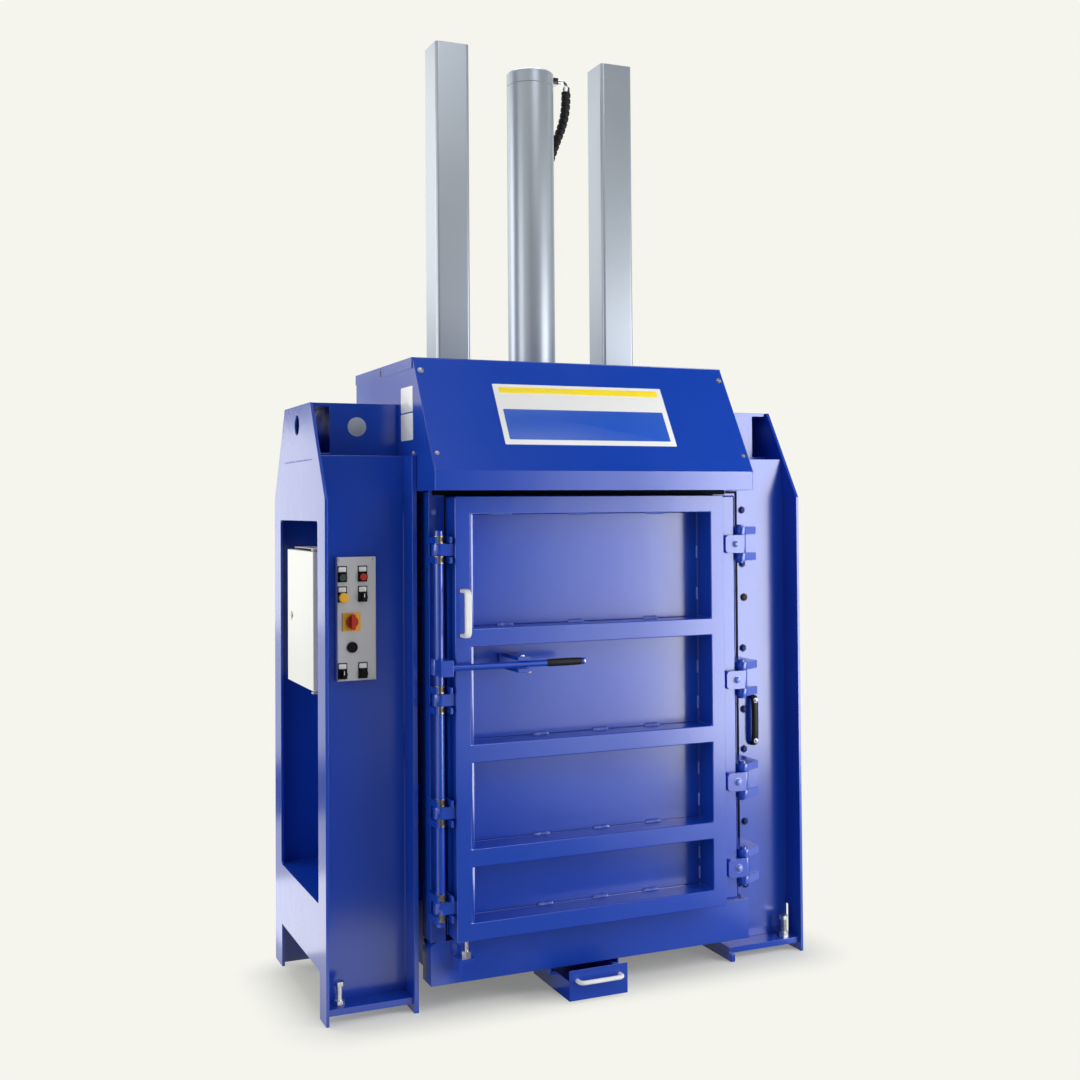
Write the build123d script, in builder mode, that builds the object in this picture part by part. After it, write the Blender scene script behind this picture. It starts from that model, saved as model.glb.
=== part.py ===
"""Vertical recycling baler: two plate columns, a box beam, a hooded press, a ribbed door and a drip drawer."""
import os
from math import radians, sqrt, tan

from build123d import *

os.makedirs("parts", exist_ok=True)

# Whole machine, millimetres. X runs to the right, the front faces -Y, Z is up, the floor is at zero.
overall_width = 1720.0
overall_depth = 878.0
overall_height = 3188.0
overrun = 5.0
seat_gap = 0.3
run_fit = 0.05
quarter_turn = 90.0

# Side plates
side_plate_t = 10.0
hood_overhang = 173.0
taper_height = 310.0
taper_front = 185.0
taper_rear = 161.0
leg_height = 146.0
front_leg = 80.0
rear_leg = 100.0
window_margin = 92.0
window_bottom = 350.0
window_top_drop = 69.0
window_radius = 12.0
lift_hole_d = 66.0
lift_hole_drop = 64.0

# Columns
column_width = 280.0
column_height = 1741.0
inner_wall_t = 15.0
web_recess = 92.0
web_t = 8.0
rear_web_recess = 51.0
foot_length = 100.0
base_top = 46.0
base_t = 20.0
base_setback = 15.0
rear_base_gap = 3.0

# Levelling feet
foot_bolt_d = 20.0
foot_bolt_hole_d = 22.0
foot_bolt_top = 120.0
foot_bolt_proud = 6.0
foot_hex_r = 17.0
hex_sides = 6
foot_head_h = 13.0
foot_nut_h = 16.0
foot_bolt_edge = 42.0
foot_bolt_setback = 31.0

# Cross beam and guides
beam_depth = 402.0
beam_inset = 67.0
beam_height = 173.0
beam_wall = 12.0
press_setback = 310.0
guide_share = 0.651
guide_size = 124.0
guide_wall = 6.0
guide_corner = 12.0
guide_gap = 1.0
sleeve_wall = 12.0
sleeve_rise = 40.0

# Hydraulic cylinder
barrel_d = 168.0
barrel_wall = 14.0
cylinder_drop = 54.0
cap_h = 52.0
cap_chamfer = 6.0
cap_groove = 2.0
head_flange_d = 250.0
head_flange_h = 40.0
rod_d = 90.0
piston_h = 70.0
end_margin = 6.0

# Press chamber
chamber_gap = 68.0
chamber_wall_t = 10.0
chamber_back_t = 8.0
chamber_bottom = 87.0
floor_top = 223.0
floor_t = 12.0
tie_h = 60.0
tie_t = 12.0
tie_setback = 118.0
tie_height_shares = (0.18, 0.36, 0.54, 0.72, 0.88)
platen_gap = 17.0
platen_front_gap = 23.0
platen_h = 60.0
platen_plate_t = 22.0
platen_rib_t = 16.0
platen_drop = 41.0

# Door surround
surround_depth = 82.0
surround_front = 126.0
post_width = 50.0
post_wall = 5.0
header_drop = 121.0
header_h = 80.0
sill_wall = 8.0
sill_corner = 25.0
sill_right_reach = 78.0

# Door
door_left_gap = 9.0
door_right_gap = 5.0
door_bottom_gap = 13.0
door_top_gap = 10.0
door_front = 205.0
door_frame_depth = 95.0
door_bar = 56.0
door_stile = 50.0
door_bar_wall = 5.0
door_panel_t = 8.0
door_edge_r = 3.0
rib_height_shares = (0.185, 0.419, 0.680)
flange_reach = 78.0
flange_t = 8.0
flange_setback = 58.0

# Hinges
hinge_height_shares = (0.078, 0.290, 0.542, 0.879)
knuckle_h = 62.0
knuckle_r = 20.0
knuckle_leaf = 52.0
knuckle_leaf_t = 24.0
knuckle_corner = 14.0
hinge_pin_d = 24.0
hinge_pin_over = 8.0
hinge_gap = 2.0
fork_gap = 1.0
fork_t = 26.0
bracket_block_w = 54.0
bracket_block_d = 126.0
bracket_offset = 50.0
eye_side_share = 0.7

# Lock on the left of the door
shaft_d = 30.0
shaft_offset = 42.0
shaft_setback = 34.0
shaft_over = 60.0
block_h = 38.0
block_r = 23.0
lug_t = 20.0
lug_gap = 2.0
lug_reach = 89.0
lug_wall = 7.0
lug_play_left = 1.0
lug_play_right = 4.5
bush_t = 2.0
bush_over = 1.5
clevis_r = 27.0
clevis_h = 50.0
clevis_w = 40.0
lever_height_share = 0.6165
lever_d = 20.0
lever_front = 57.0
lever_length_share = 0.49
grip_length = 141.0
grip_d = 25.0
grip_end_gap = 5.0
grip_edge_r = 2.0
keeper_place_share = 0.543
keeper_w = 40.0
keeper_base_w = 70.0
keeper_base_t = 8.0
keeper_arm_t = 12.0
keeper_gap = 3.0
keeper_over = 13.0

# Bow handles
handle_d = 14.0
handle_reach = 45.0
handle_bend = 16.0
door_handle_span = 138.0
door_handle_w = 21.0
door_handle_t = 12.0
door_handle_edge = 4.0
door_handle_share = 0.7365
web_handle_share = 0.5
web_handle_inset = 120.0
drawer_handle_span = 150.0

# Door rest: a bolt on a small bracket on the sill
rest_inset = 44.0
rest_drop = 46.0
rest_reach = 62.0
rest_ledge_w = 40.0
rest_ledge_t = 10.0
rest_fin_t = 12.0
rest_fin_h = 42.0
rest_bolt_setback = 40.0
rest_bolt_d = 12.0
rest_nut_r = 15.0
rest_nut_h = 20.0
rest_bolt_gap = 0.5

# Drip drawer
drawer_width = 206.0
drawer_length = 290.0
drawer_shift = 10.0
drawer_front = 231.0
drawer_bottom = 12.0
drawer_body_h = 62.0
drawer_face_h = 96.0
drawer_wall = 3.0
drawer_lip = 14.0
runner_wall = 4.0
runner_length = 180.0
runner_side_gap = 2.0
drawer_handle_share = 0.65

# Hood
hood_sheet = 3.0
hood_side_gap = 1.0
hood_rise = 140.0
hood_fold_drop = 53.0
hood_bottom_drop = 114.0
hood_lean = 214.0
hood_rear_setback = 10.0
hood_flange = 35.0
hood_hole_gap = 6.0
hood_corner_in = 172.0
hood_corner_run = 66.0
hood_corner_drop = 15.0

# Hydraulic hose and its fittings
hose_d = 34.0
port_w = 28.0
port_reach = 22.0
port_drop = 16.0
elbow_d = 14.0
elbow_bend = 14.0
ferrule_d = 30.0
ferrule_h = 16.0
ferrule_drop = 50.0
gland_d = 44.0
gland_h = 16.0
hose_offsets = (
    (142.0, 0.0),
    (142.0, 0.0),
    (138.0, 22.0),
    (116.0, 55.0),
    (93.0, 88.0),
    (77.0, 112.0),
    (67.0, 122.0),
    (60.0, 123.0),
    (60.0, 123.0),
)
hose_height_shares = (1.0, 0.947, 0.886, 0.809, 0.710, 0.562, 0.365, 0.168, 0.0)
bend_share = 0.45

# Control box
panel_width = 126.0
panel_height = 387.0
panel_drop = 319.0
panel_edge = 47.0
panel_t = 20.0
panel_edge_r = 4.0
legend_w = 30.0
legend_h = 50.0
legend_t = 2.0
legend_low_share = 0.3
collar_r = 14.5
collar_h = 8.0
cap_r = 11.0
cap_gap = 0.4
cap_proud = 4.0
cap_back_gap = 5.0
lamp_r = 16.0
lamp_h = 10.0
lamp_gap = 5.0
knob_w = 9.0
knob_l = 27.0
knob_h = 13.0
switch_plate = 57.0
switch_plate_t = 4.0
switch_disc_r = 19.0
switch_disc_h = 9.0
switch_bar_w = 13.0
switch_bar_l = 50.0
switch_bar_h = 16.0
blank_r = 17.0
blank_h = 5.0
button_column_shares = (0.13, 0.65)
button_row_shares = (0.837, 0.674, 0.056)
switch_place_shares = (0.36, 0.477)
blank_place_shares = (0.38, 0.271)

# Electrical cabinet
cabinet_front_gap = 92.0
cabinet_rear_gap = 74.0
cabinet_drop = 90.0
cabinet_height = 460.0
cabinet_depth = 180.0
cabinet_wall = 3.0
cabinet_recess = 33.0
cabinet_door_recess = 8.0
cabinet_door_t = 16.0
cabinet_door_gap = 3.0
cabinet_pivot_in = 10.0
cabinet_pivot_d = 8.0
cabinet_pivot_l = 10.0
cabinet_ear = 22.0
cabinet_ear_t = 5.0
cabinet_lock_d = 20.0
cabinet_lock_h = 5.0
cabinet_lock_slot = 3.0
cabinet_lock_share = 0.83
cabinet_rail_h = 40.0
cabinet_rail_inset = 20.0
cabinet_rail_shares = (0.2, 0.8)
shelf_t = 10.0
mount_plate_t = 3.0
mount_plate_inset = 20.0
mount_plate_standoff = 14.0

# Places worked out from the sizes above
half_width = overall_width / 2
side_height = column_height + beam_height
front_y = -overall_depth / 2
rear_y = overall_depth / 2
side_front_y = front_y + hood_overhang
side_in_x = half_width - side_plate_t
wall_out_x = half_width - column_width
wall_in_x = wall_out_x - inner_wall_t
web_y = side_front_y + web_recess
web_back_y = web_y + web_t
rear_web_y = rear_y - rear_web_recess
rear_in_y = rear_web_y - web_t
taper_z = side_height - taper_height
window_top = taper_z - window_top_drop
press_y = rear_y - press_setback
base_bottom = base_top - base_t
beam_half_length = half_width - beam_inset
beam_front_y = press_y - beam_depth / 2
beam_rear_y = press_y + beam_depth / 2
surround_y = web_y - surround_front
surround_back_y = surround_y + surround_depth
chamber_out_x = wall_in_x - chamber_gap
chamber_half_width = chamber_out_x - chamber_wall_t
guide_x = guide_share * chamber_half_width
header_bottom = column_height - header_drop
chamber_back_y = rear_in_y - chamber_back_t
post_left_x = -chamber_half_width - post_width
post_right_x = chamber_half_width + post_width
door_left = chamber_half_width - door_left_gap
door_right = chamber_half_width - door_right_gap
door_bottom = floor_top + door_bottom_gap
door_height = header_bottom - door_top_gap - door_bottom
door_y = web_y - door_front
door_panel_y = door_y + door_frame_depth
door_back_y = door_panel_y + door_panel_t
door_top = door_bottom + door_height
hinge_x = door_right + flange_reach + hinge_gap + knuckle_r
hinge_y = door_y + flange_setback
station_heights = [door_bottom + share * door_height for share in hinge_height_shares]
shaft_x = -door_left - shaft_offset
shaft_y = door_y + shaft_setback
lever_y = shaft_y - lever_front
lever_height = door_bottom + lever_height_share * door_height
lever_length = lever_length_share * (door_left + door_right)
keeper_x = shaft_x + keeper_place_share * lever_length
hood_half = wall_in_x - hood_side_gap
hood_rear_y = rear_y - hood_rear_setback
hood_slope_y = front_y + hood_lean
hood_top = side_height + hood_rise
hood_fold = column_height - hood_fold_drop
hood_bottom = column_height - hood_bottom_drop
hood_corner_top = column_height - hood_corner_drop
cylinder_top = overall_height - cylinder_drop
barrel_r = barrel_d / 2
bore_r = barrel_r - barrel_wall
barrel_bottom = side_height + head_flange_h
barrel_top = cylinder_top - cap_h
platen_top = column_height - platen_drop
platen_bottom = platen_top - platen_h
piston_bottom = barrel_top - end_margin - piston_h
panel_left_x = -side_in_x + panel_edge
panel_front_y = web_y - panel_t
panel_bottom = column_height - panel_drop - panel_height
cabinet_y = side_front_y + window_margin + cabinet_front_gap
cabinet_width = rear_y - window_margin - cabinet_rear_gap - cabinet_y
cabinet_bottom = window_top - cabinet_drop - cabinet_height
cabinet_front_x = -half_width + cabinet_recess
cabinet_back_x = cabinet_front_x + cabinet_depth
leaf_out_x = -half_width + cabinet_door_recess
leaf_in_x = leaf_out_x + cabinet_door_t


def upright(y):
    """Sketch plane parallel to the front at depth y, with X to the right and Z up."""
    return Plane.XZ.offset(-y)


def sideways(x):
    """Sketch plane parallel to the side plates at x, with Y across and Z up."""
    return Plane.YZ.offset(x)


def level(z):
    """Sketch plane parallel to the floor at height z."""
    return Plane.XY.offset(z)


def span(u_low, u_high, v_low, v_high, mode=Mode.ADD):
    """Rectangle between two corners on the open sketch."""
    with Locations(((u_low + u_high) / 2, (v_low + v_high) / 2)):
        Rectangle(u_high - u_low, v_high - v_low, mode=mode)


def outline(*points):
    """Filled outline through the points on the open sketch."""
    Polygon(*points)


def dot(u, v, radius, mode=Mode.ADD):
    """Disc at a point of the open sketch."""
    with Locations((u, v)):
        Circle(radius, mode=mode)


def save(builder, name):
    """Label the finished piece and write its file."""
    builder.part.label = name
    export_step(builder.part, f"parts/{name}.step")


# Side plates
def side_plate_profile():
    """Plate outline with two legs, tapered head, window and lifting eye."""
    outline(
        (side_front_y, 0),
        (side_front_y + front_leg, 0),
        (side_front_y + front_leg, leg_height),
        (rear_y - rear_leg, leg_height),
        (rear_y - rear_leg, 0),
        (rear_y, 0),
        (rear_y, taper_z),
        (rear_y - taper_rear, side_height),
        (side_front_y + taper_front, side_height),
        (side_front_y, taper_z),
    )
    window_y = (side_front_y + rear_y) / 2
    window_width = rear_y - side_front_y - 2 * window_margin
    with Locations((window_y, (window_bottom + window_top) / 2)):
        RectangleRounded(window_width, window_top - window_bottom, window_radius, mode=Mode.SUBTRACT)
    eye_y = (side_front_y + taper_front + rear_y - taper_rear) / 2
    dot(eye_y, side_height - lift_hole_drop, lift_hole_d / 2, Mode.SUBTRACT)


with BuildPart() as side_plate_left:
    with BuildSketch(sideways(-half_width)):
        side_plate_profile()
    extrude(amount=side_plate_t)
save(side_plate_left, "side_plate_left")

with BuildPart() as side_plate_right:
    with BuildSketch(sideways(side_in_x)):
        side_plate_profile()
    extrude(amount=side_plate_t)
save(side_plate_right, "side_plate_right")

# Column plates
with BuildPart() as front_web_left:
    with BuildSketch(upright(web_back_y)):
        span(-side_in_x, -wall_out_x, base_top, column_height)
    extrude(amount=web_t)
save(front_web_left, "front_web_left")

with BuildPart() as front_web_right:
    with BuildSketch(upright(web_back_y)):
        outline(
            (chamber_out_x, base_top),
            (side_in_x, base_top),
            (side_in_x, column_height),
            (hood_half, column_height),
            (hood_half, hood_corner_top),
            (chamber_out_x, hood_corner_top),
        )
    extrude(amount=web_t)
save(front_web_right, "front_web_right")

with BuildPart() as inner_wall_left:
    with BuildSketch(sideways(-wall_out_x)):
        outline(
            (side_front_y, 0),
            (side_front_y + foot_length, 0),
            (side_front_y + foot_length, leg_height),
            (rear_in_y - foot_length, leg_height),
            (rear_in_y - foot_length, 0),
            (rear_in_y, 0),
            (rear_in_y, column_height),
            (side_front_y, column_height),
        )
    extrude(amount=inner_wall_t)
save(inner_wall_left, "inner_wall_left")

with BuildPart() as inner_wall_right:
    with BuildSketch(sideways(wall_in_x)):
        outline(
            (side_front_y, 0),
            (web_back_y + foot_length, 0),
            (web_back_y + foot_length, leg_height),
            (rear_in_y - foot_length, leg_height),
            (rear_in_y - foot_length, 0),
            (rear_in_y, 0),
            (rear_in_y, column_height),
            (web_back_y, column_height),
            (web_back_y, base_bottom),
            (side_front_y, base_bottom),
        )
    extrude(amount=inner_wall_t)
save(inner_wall_right, "inner_wall_right")

with BuildPart() as rear_plates:
    with BuildSketch(upright(rear_web_y)):
        span(-side_in_x, -wall_in_x, 0, column_height)
        span(wall_in_x, side_in_x, 0, column_height)
    extrude(amount=web_t)
    with BuildSketch(upright(rear_in_y)):
        span(-chamber_out_x, chamber_out_x, chamber_bottom, column_height)
    extrude(amount=chamber_back_t)
save(rear_plates, "rear_plates")

# Base plates with the levelling bolts through them
base_front_y = side_front_y + base_setback
front_bolt_y = base_front_y + foot_bolt_setback
rear_base_y = rear_y - rear_base_gap
rear_bolt_y = (rear_web_y + rear_base_y) / 2
bolt_x = side_in_x - foot_bolt_edge
bolt_places = [(x, y) for x in (-bolt_x, bolt_x) for y in (front_bolt_y, rear_bolt_y)]

with BuildPart() as base_plates:
    with BuildSketch(level(base_bottom)):
        span(-side_in_x, -wall_out_x, base_front_y, web_back_y)
        span(wall_in_x, side_in_x, base_front_y, web_back_y)
        span(-side_in_x, -wall_in_x, rear_web_y, rear_base_y)
        span(wall_in_x, side_in_x, rear_web_y, rear_base_y)
        for bolt_u, bolt_v in bolt_places:
            dot(bolt_u, bolt_v, foot_bolt_hole_d / 2, Mode.SUBTRACT)
    extrude(amount=base_t)
save(base_plates, "base_plates")

with BuildPart() as levelling_feet:
    for bolt_u, bolt_v in bolt_places:
        with BuildSketch(level(base_bottom - foot_bolt_proud)):
            dot(bolt_u, bolt_v, foot_bolt_d / 2)
        extrude(amount=foot_bolt_top - foot_head_h - base_bottom + foot_bolt_proud)
        with BuildSketch(level(foot_bolt_top - foot_head_h)):
            with Locations((bolt_u, bolt_v)):
                RegularPolygon(foot_hex_r, hex_sides)
        extrude(amount=foot_head_h)
        with BuildSketch(level(base_top)):
            with Locations((bolt_u, bolt_v)):
                RegularPolygon(foot_hex_r, hex_sides)
        extrude(amount=foot_nut_h)
save(levelling_feet, "levelling_feet")

# Box beam across the columns, open below the guide tubes and the cylinder
sleeve_half = guide_size / 2 + guide_gap + sleeve_wall
with BuildPart() as top_beam:
    with BuildSketch(level(column_height)):
        span(-beam_half_length, beam_half_length, beam_front_y, beam_rear_y)
    extrude(amount=side_height - column_height)
    with BuildSketch(level(column_height + beam_wall)):
        span(
            -beam_half_length + beam_wall,
            beam_half_length - beam_wall,
            beam_front_y + beam_wall,
            beam_rear_y - beam_wall,
        )
    extrude(amount=side_height - column_height - 2 * beam_wall, mode=Mode.SUBTRACT)
    for plate_z in (column_height, side_height - beam_wall):
        with BuildSketch(level(plate_z)):
            span(-side_in_x, side_in_x, beam_front_y, beam_rear_y)
        extrude(amount=beam_wall)
    with BuildSketch(upright(beam_rear_y)):
        span(-side_in_x, side_in_x, column_height, side_height)
    extrude(amount=beam_wall)
    with BuildSketch(level(column_height - overrun)):
        dot(0, press_y, barrel_r)
        for guide_u in (-guide_x, guide_x):
            span(guide_u - sleeve_half, guide_u + sleeve_half, press_y - sleeve_half, press_y + sleeve_half)
    extrude(amount=side_height - column_height + 2 * overrun, mode=Mode.SUBTRACT)
save(top_beam, "top_beam")

with BuildPart() as guide_sleeves:
    with BuildSketch(level(column_height)):
        with Locations((-guide_x, press_y), (guide_x, press_y)):
            Rectangle(2 * sleeve_half, 2 * sleeve_half)
            RectangleRounded(
                guide_size + 2 * guide_gap,
                guide_size + 2 * guide_gap,
                guide_corner,
                mode=Mode.SUBTRACT,
            )
    extrude(amount=side_height - column_height + sleeve_rise)
save(guide_sleeves, "guide_sleeves")

# Hydraulic cylinder: flanged head in the beam, barrel and end cap
with BuildPart() as cylinder_head:
    with BuildSketch(level(column_height)):
        dot(0, press_y, barrel_r)
    extrude(amount=barrel_bottom - column_height)
    with BuildSketch(level(side_height)):
        dot(0, press_y, head_flange_d / 2)
    extrude(amount=head_flange_h)
    with BuildSketch(level(column_height - overrun)):
        dot(0, press_y, rod_d / 2 + run_fit)
    extrude(amount=barrel_bottom - column_height + 2 * overrun, mode=Mode.SUBTRACT)
save(cylinder_head, "cylinder_head")

with BuildPart() as cylinder_barrel:
    with BuildSketch(level(barrel_bottom)):
        dot(0, press_y, barrel_r)
        dot(0, press_y, bore_r, Mode.SUBTRACT)
    extrude(amount=barrel_top - barrel_bottom)
save(cylinder_barrel, "cylinder_barrel")

with BuildPart() as cylinder_cap:
    with BuildSketch(Plane.XZ.offset(-press_y)):
        outline(
            (0, barrel_top),
            (barrel_r - cap_groove, barrel_top),
            (barrel_r - cap_groove, barrel_top + cap_groove),
            (barrel_r, barrel_top + 2 * cap_groove),
            (barrel_r, cylinder_top - cap_chamfer),
            (barrel_r - cap_chamfer, cylinder_top),
            (0, cylinder_top),
        )
    revolve(axis=Axis((0, press_y, 0), (0, 0, 1)))
save(cylinder_cap, "cylinder_cap")

# Press: platen, piston rod and the two guide tubes move as one
with BuildPart() as platen:
    platen_x = chamber_half_width - platen_gap
    platen_front_y = surround_back_y + platen_front_gap
    platen_rear_y = chamber_back_y - platen_gap
    with BuildSketch(level(platen_bottom)):
        span(-platen_x, platen_x, platen_front_y, platen_rear_y)
    extrude(amount=platen_plate_t)
    with BuildSketch(level(platen_bottom + platen_plate_t)):
        for rib_u in (-platen_x, -guide_x, -platen_rib_t / 2, guide_x, platen_x - platen_rib_t):
            span(rib_u, rib_u + platen_rib_t, platen_front_y, platen_rear_y)
        for rib_v in (platen_front_y, press_y - platen_rib_t / 2, platen_rear_y - platen_rib_t):
            span(-platen_x, platen_x, rib_v, rib_v + platen_rib_t)
        dot(0, press_y, barrel_r)
        with Locations((-guide_x, press_y), (guide_x, press_y)):
            Rectangle(guide_size, guide_size)
    extrude(amount=platen_h - platen_plate_t)
save(platen, "platen")

with BuildPart() as piston_rod:
    with BuildSketch(level(platen_top)):
        dot(0, press_y, rod_d / 2)
    extrude(amount=piston_bottom + piston_h - platen_top)
    with BuildSketch(level(piston_bottom)):
        dot(0, press_y, bore_r - run_fit)
    extrude(amount=piston_h)
save(piston_rod, "piston_rod")

with BuildPart() as guide_tubes:
    with BuildSketch(level(platen_top)):
        with Locations((-guide_x, press_y), (guide_x, press_y)):
            RectangleRounded(guide_size, guide_size, guide_corner)
    extrude(amount=overall_height - platen_top)
    with BuildSketch(level(platen_top)):
        with Locations((-guide_x, press_y), (guide_x, press_y)):
            RectangleRounded(
                guide_size - 2 * guide_wall,
                guide_size - 2 * guide_wall,
                guide_corner - guide_wall,
            )
    extrude(amount=overall_height - platen_top - guide_wall, mode=Mode.SUBTRACT)
save(guide_tubes, "guide_tubes")

# Press chamber: two side walls and a floor in front of the back plate
with BuildPart() as chamber_walls:
    with BuildSketch(level(chamber_bottom)):
        span(-chamber_out_x, -chamber_half_width, surround_back_y, chamber_back_y)
        span(chamber_half_width, chamber_out_x, surround_back_y, chamber_back_y)
    extrude(amount=column_height - chamber_bottom)
save(chamber_walls, "chamber_walls")

with BuildPart() as chamber_floor:
    with BuildSketch(level(floor_top - floor_t)):
        span(-chamber_half_width, chamber_half_width, surround_back_y, chamber_back_y)
    extrude(amount=floor_t)
save(chamber_floor, "chamber_floor")

# Door surround: two posts and a header of hollow section, and a pressed sill
with BuildPart() as door_surround:
    with BuildSketch(level(floor_top)):
        for post_u in (post_left_x, post_right_x - post_width):
            span(post_u, post_u + post_width, surround_y, surround_back_y)
            span(
                post_u + post_wall,
                post_u + post_width - post_wall,
                surround_y + post_wall,
                surround_back_y - post_wall,
                Mode.SUBTRACT,
            )
    extrude(amount=header_bottom - floor_top)
    with BuildSketch(sideways(post_left_x)):
        span(surround_y, surround_back_y, header_bottom, header_bottom + header_h)
        span(
            surround_y + post_wall,
            surround_back_y - post_wall,
            header_bottom + post_wall,
            header_bottom + header_h - post_wall,
            Mode.SUBTRACT,
        )
    extrude(amount=post_right_x - post_left_x)
save(door_surround, "door_surround")

sill_right_x = post_right_x + sill_right_reach
with BuildPart() as door_sill:
    with BuildSketch(upright(surround_back_y)) as sill_face:
        span(post_left_x, sill_right_x, chamber_bottom, floor_top)
        low_left = sill_face.vertices().group_by(Axis.Z)[0].sort_by(Axis.X)[0]
        fillet(low_left, sill_corner)
    extrude(amount=surround_depth)
    with BuildSketch(upright(surround_back_y)) as sill_hollow:
        span(post_left_x + sill_wall, sill_right_x - sill_wall, chamber_bottom + sill_wall, floor_top - sill_wall)
        low_left = sill_hollow.vertices().group_by(Axis.Z)[0].sort_by(Axis.X)[0]
        fillet(low_left, sill_corner - sill_wall)
    extrude(amount=surround_depth - sill_wall, mode=Mode.SUBTRACT)
save(door_sill, "door_sill")

# Door: welded grid of channels, back panel and hinge flange
rib_lows = [door_bottom + share * door_height - door_bar / 2 for share in rib_height_shares]
bar_lows = [door_bottom] + rib_lows + [door_top - door_bar]


def door_grid(inset):
    """Stiles, rails and ribs of the door on the open sketch, each side drawn in by the inset."""
    for stile_u in (-door_left, door_right - door_stile):
        span(stile_u + inset, stile_u + door_stile - inset, door_bottom + inset, door_top - inset)
    for bar_low in bar_lows:
        span(-door_left + inset, door_right - inset, bar_low + inset, bar_low + door_bar - inset)


with BuildPart() as door_frame:
    with BuildSketch(upright(door_panel_y)):
        door_grid(0)
    extrude(amount=door_frame_depth)
    fillet(door_frame.faces().sort_by(Axis.Y)[0].edges(), door_edge_r)
    with BuildSketch(upright(door_panel_y)):
        door_grid(door_bar_wall)
    extrude(amount=door_frame_depth - door_bar_wall, mode=Mode.SUBTRACT)
    with BuildSketch(upright(hinge_y + flange_t)):
        span(door_right - door_bar_wall, door_right + flange_reach, door_bottom, door_top)
    extrude(amount=flange_t)
save(door_frame, "door_frame")

with BuildPart() as door_panel:
    with BuildSketch(upright(door_back_y)):
        span(-door_left, door_right, door_bottom, door_top)
    extrude(amount=door_panel_t)
save(door_panel, "door_panel")

# Hinges: a knuckle on the door between two fork plates on the right web
fork_low = knuckle_h / 2 + fork_gap
block_left_x = hinge_x + bracket_offset - bracket_block_w / 2
block_right_x = block_left_x + bracket_block_w

with BuildPart() as hinge_knuckles:
    for height in station_heights:
        with BuildSketch(upright(hinge_y)) as leaf_face:
            span(hinge_x - knuckle_r - knuckle_leaf, hinge_x, height - knuckle_h / 2, height + knuckle_h / 2)
            fillet(leaf_face.vertices().group_by(Axis.X)[0], knuckle_corner)
        extrude(amount=knuckle_leaf_t)
        with BuildSketch(level(height - knuckle_h / 2)):
            dot(hinge_x, hinge_y, knuckle_r)
        extrude(amount=knuckle_h)
        with BuildSketch(level(height - knuckle_h / 2)):
            dot(hinge_x, hinge_y, hinge_pin_d / 2 + run_fit)
        extrude(amount=knuckle_h, mode=Mode.SUBTRACT)
save(hinge_knuckles, "hinge_knuckles")


eye_side = eye_side_share * knuckle_r


def fork_profile():
    """Arm from the web to a round eye at the pin, in plan."""
    outline(
        (block_left_x, web_y),
        (block_right_x, web_y),
        (block_right_x, web_y - bracket_block_d),
        (hinge_x + eye_side, hinge_y - eye_side),
        (hinge_x - eye_side, hinge_y + eye_side),
    )
    dot(hinge_x, hinge_y, knuckle_r)


with BuildPart() as hinge_brackets:
    for height in station_heights:
        for fork_z in (height - fork_low - fork_t, height + fork_low):
            with BuildSketch(level(fork_z)):
                fork_profile()
            extrude(amount=fork_t)
        with BuildSketch(level(height - fork_low)):
            span(block_left_x, block_right_x, web_y - bracket_block_d, web_y)
        extrude(amount=2 * fork_low)
        pin_half = fork_low + fork_t + hinge_pin_over
        with BuildSketch(level(height - pin_half)):
            dot(hinge_x, hinge_y, hinge_pin_d / 2)
        extrude(amount=2 * pin_half)
save(hinge_brackets, "hinge_brackets")

# Lock: shaft in blocks on the door's edge, seated in forked lugs on the left post
shaft_r = shaft_d / 2
bush_r = shaft_r + bush_t
lug_low = block_h / 2 + lug_gap
lug_places = [height + side * (lug_low + lug_t / 2) for height in station_heights for side in (-1, 1)]

with BuildPart() as lock_blocks:
    for height in station_heights:
        with BuildSketch(level(height - block_h / 2)):
            span(shaft_x, -door_left, shaft_y - block_r, shaft_y + block_r)
            dot(shaft_x, shaft_y, block_r)
            dot(shaft_x, shaft_y, shaft_r + run_fit, Mode.SUBTRACT)
        extrude(amount=block_h)
save(lock_blocks, "lock_blocks")

with BuildPart() as keeper_lugs:
    slot_left_x = shaft_x - bush_r - lug_play_left
    slot_right_x = shaft_x + bush_r + lug_play_right
    for lug_z in lug_places:
        with BuildSketch(level(lug_z - lug_t / 2)):
            span(slot_left_x - lug_wall, slot_right_x + lug_wall, surround_y - lug_reach, surround_y)
            span(
                slot_left_x,
                slot_right_x,
                surround_y - lug_reach - overrun,
                shaft_y + bush_r + lug_play_left,
                Mode.SUBTRACT,
            )
        extrude(amount=lug_t)
save(keeper_lugs, "keeper_lugs")

with BuildPart() as lock_shaft:
    shaft_low = station_heights[0] - shaft_over
    with BuildSketch(level(shaft_low)):
        dot(shaft_x, shaft_y, shaft_r)
    extrude(amount=station_heights[-1] + shaft_over - shaft_low)
    chamfer(lock_shaft.edges().filter_by(GeomType.CIRCLE), bush_t)
save(lock_shaft, "lock_shaft")

with BuildPart() as lock_bushes:
    for lug_z in lug_places:
        with BuildSketch(level(lug_z - lug_t / 2 - bush_over)):
            dot(shaft_x, shaft_y, bush_r)
            dot(shaft_x, shaft_y, shaft_r, Mode.SUBTRACT)
        extrude(amount=lug_t + 2 * bush_over)
save(lock_bushes, "lock_bushes")

with BuildPart() as lock_clevis:
    with BuildSketch(level(lever_height - clevis_h / 2)):
        span(shaft_x - clevis_w / 2, shaft_x + clevis_w / 2, lever_y - lever_d, shaft_y)
        dot(shaft_x, shaft_y, clevis_r)
        dot(shaft_x, shaft_y, shaft_r, Mode.SUBTRACT)
    extrude(amount=clevis_h)
save(lock_clevis, "lock_clevis")

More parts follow.
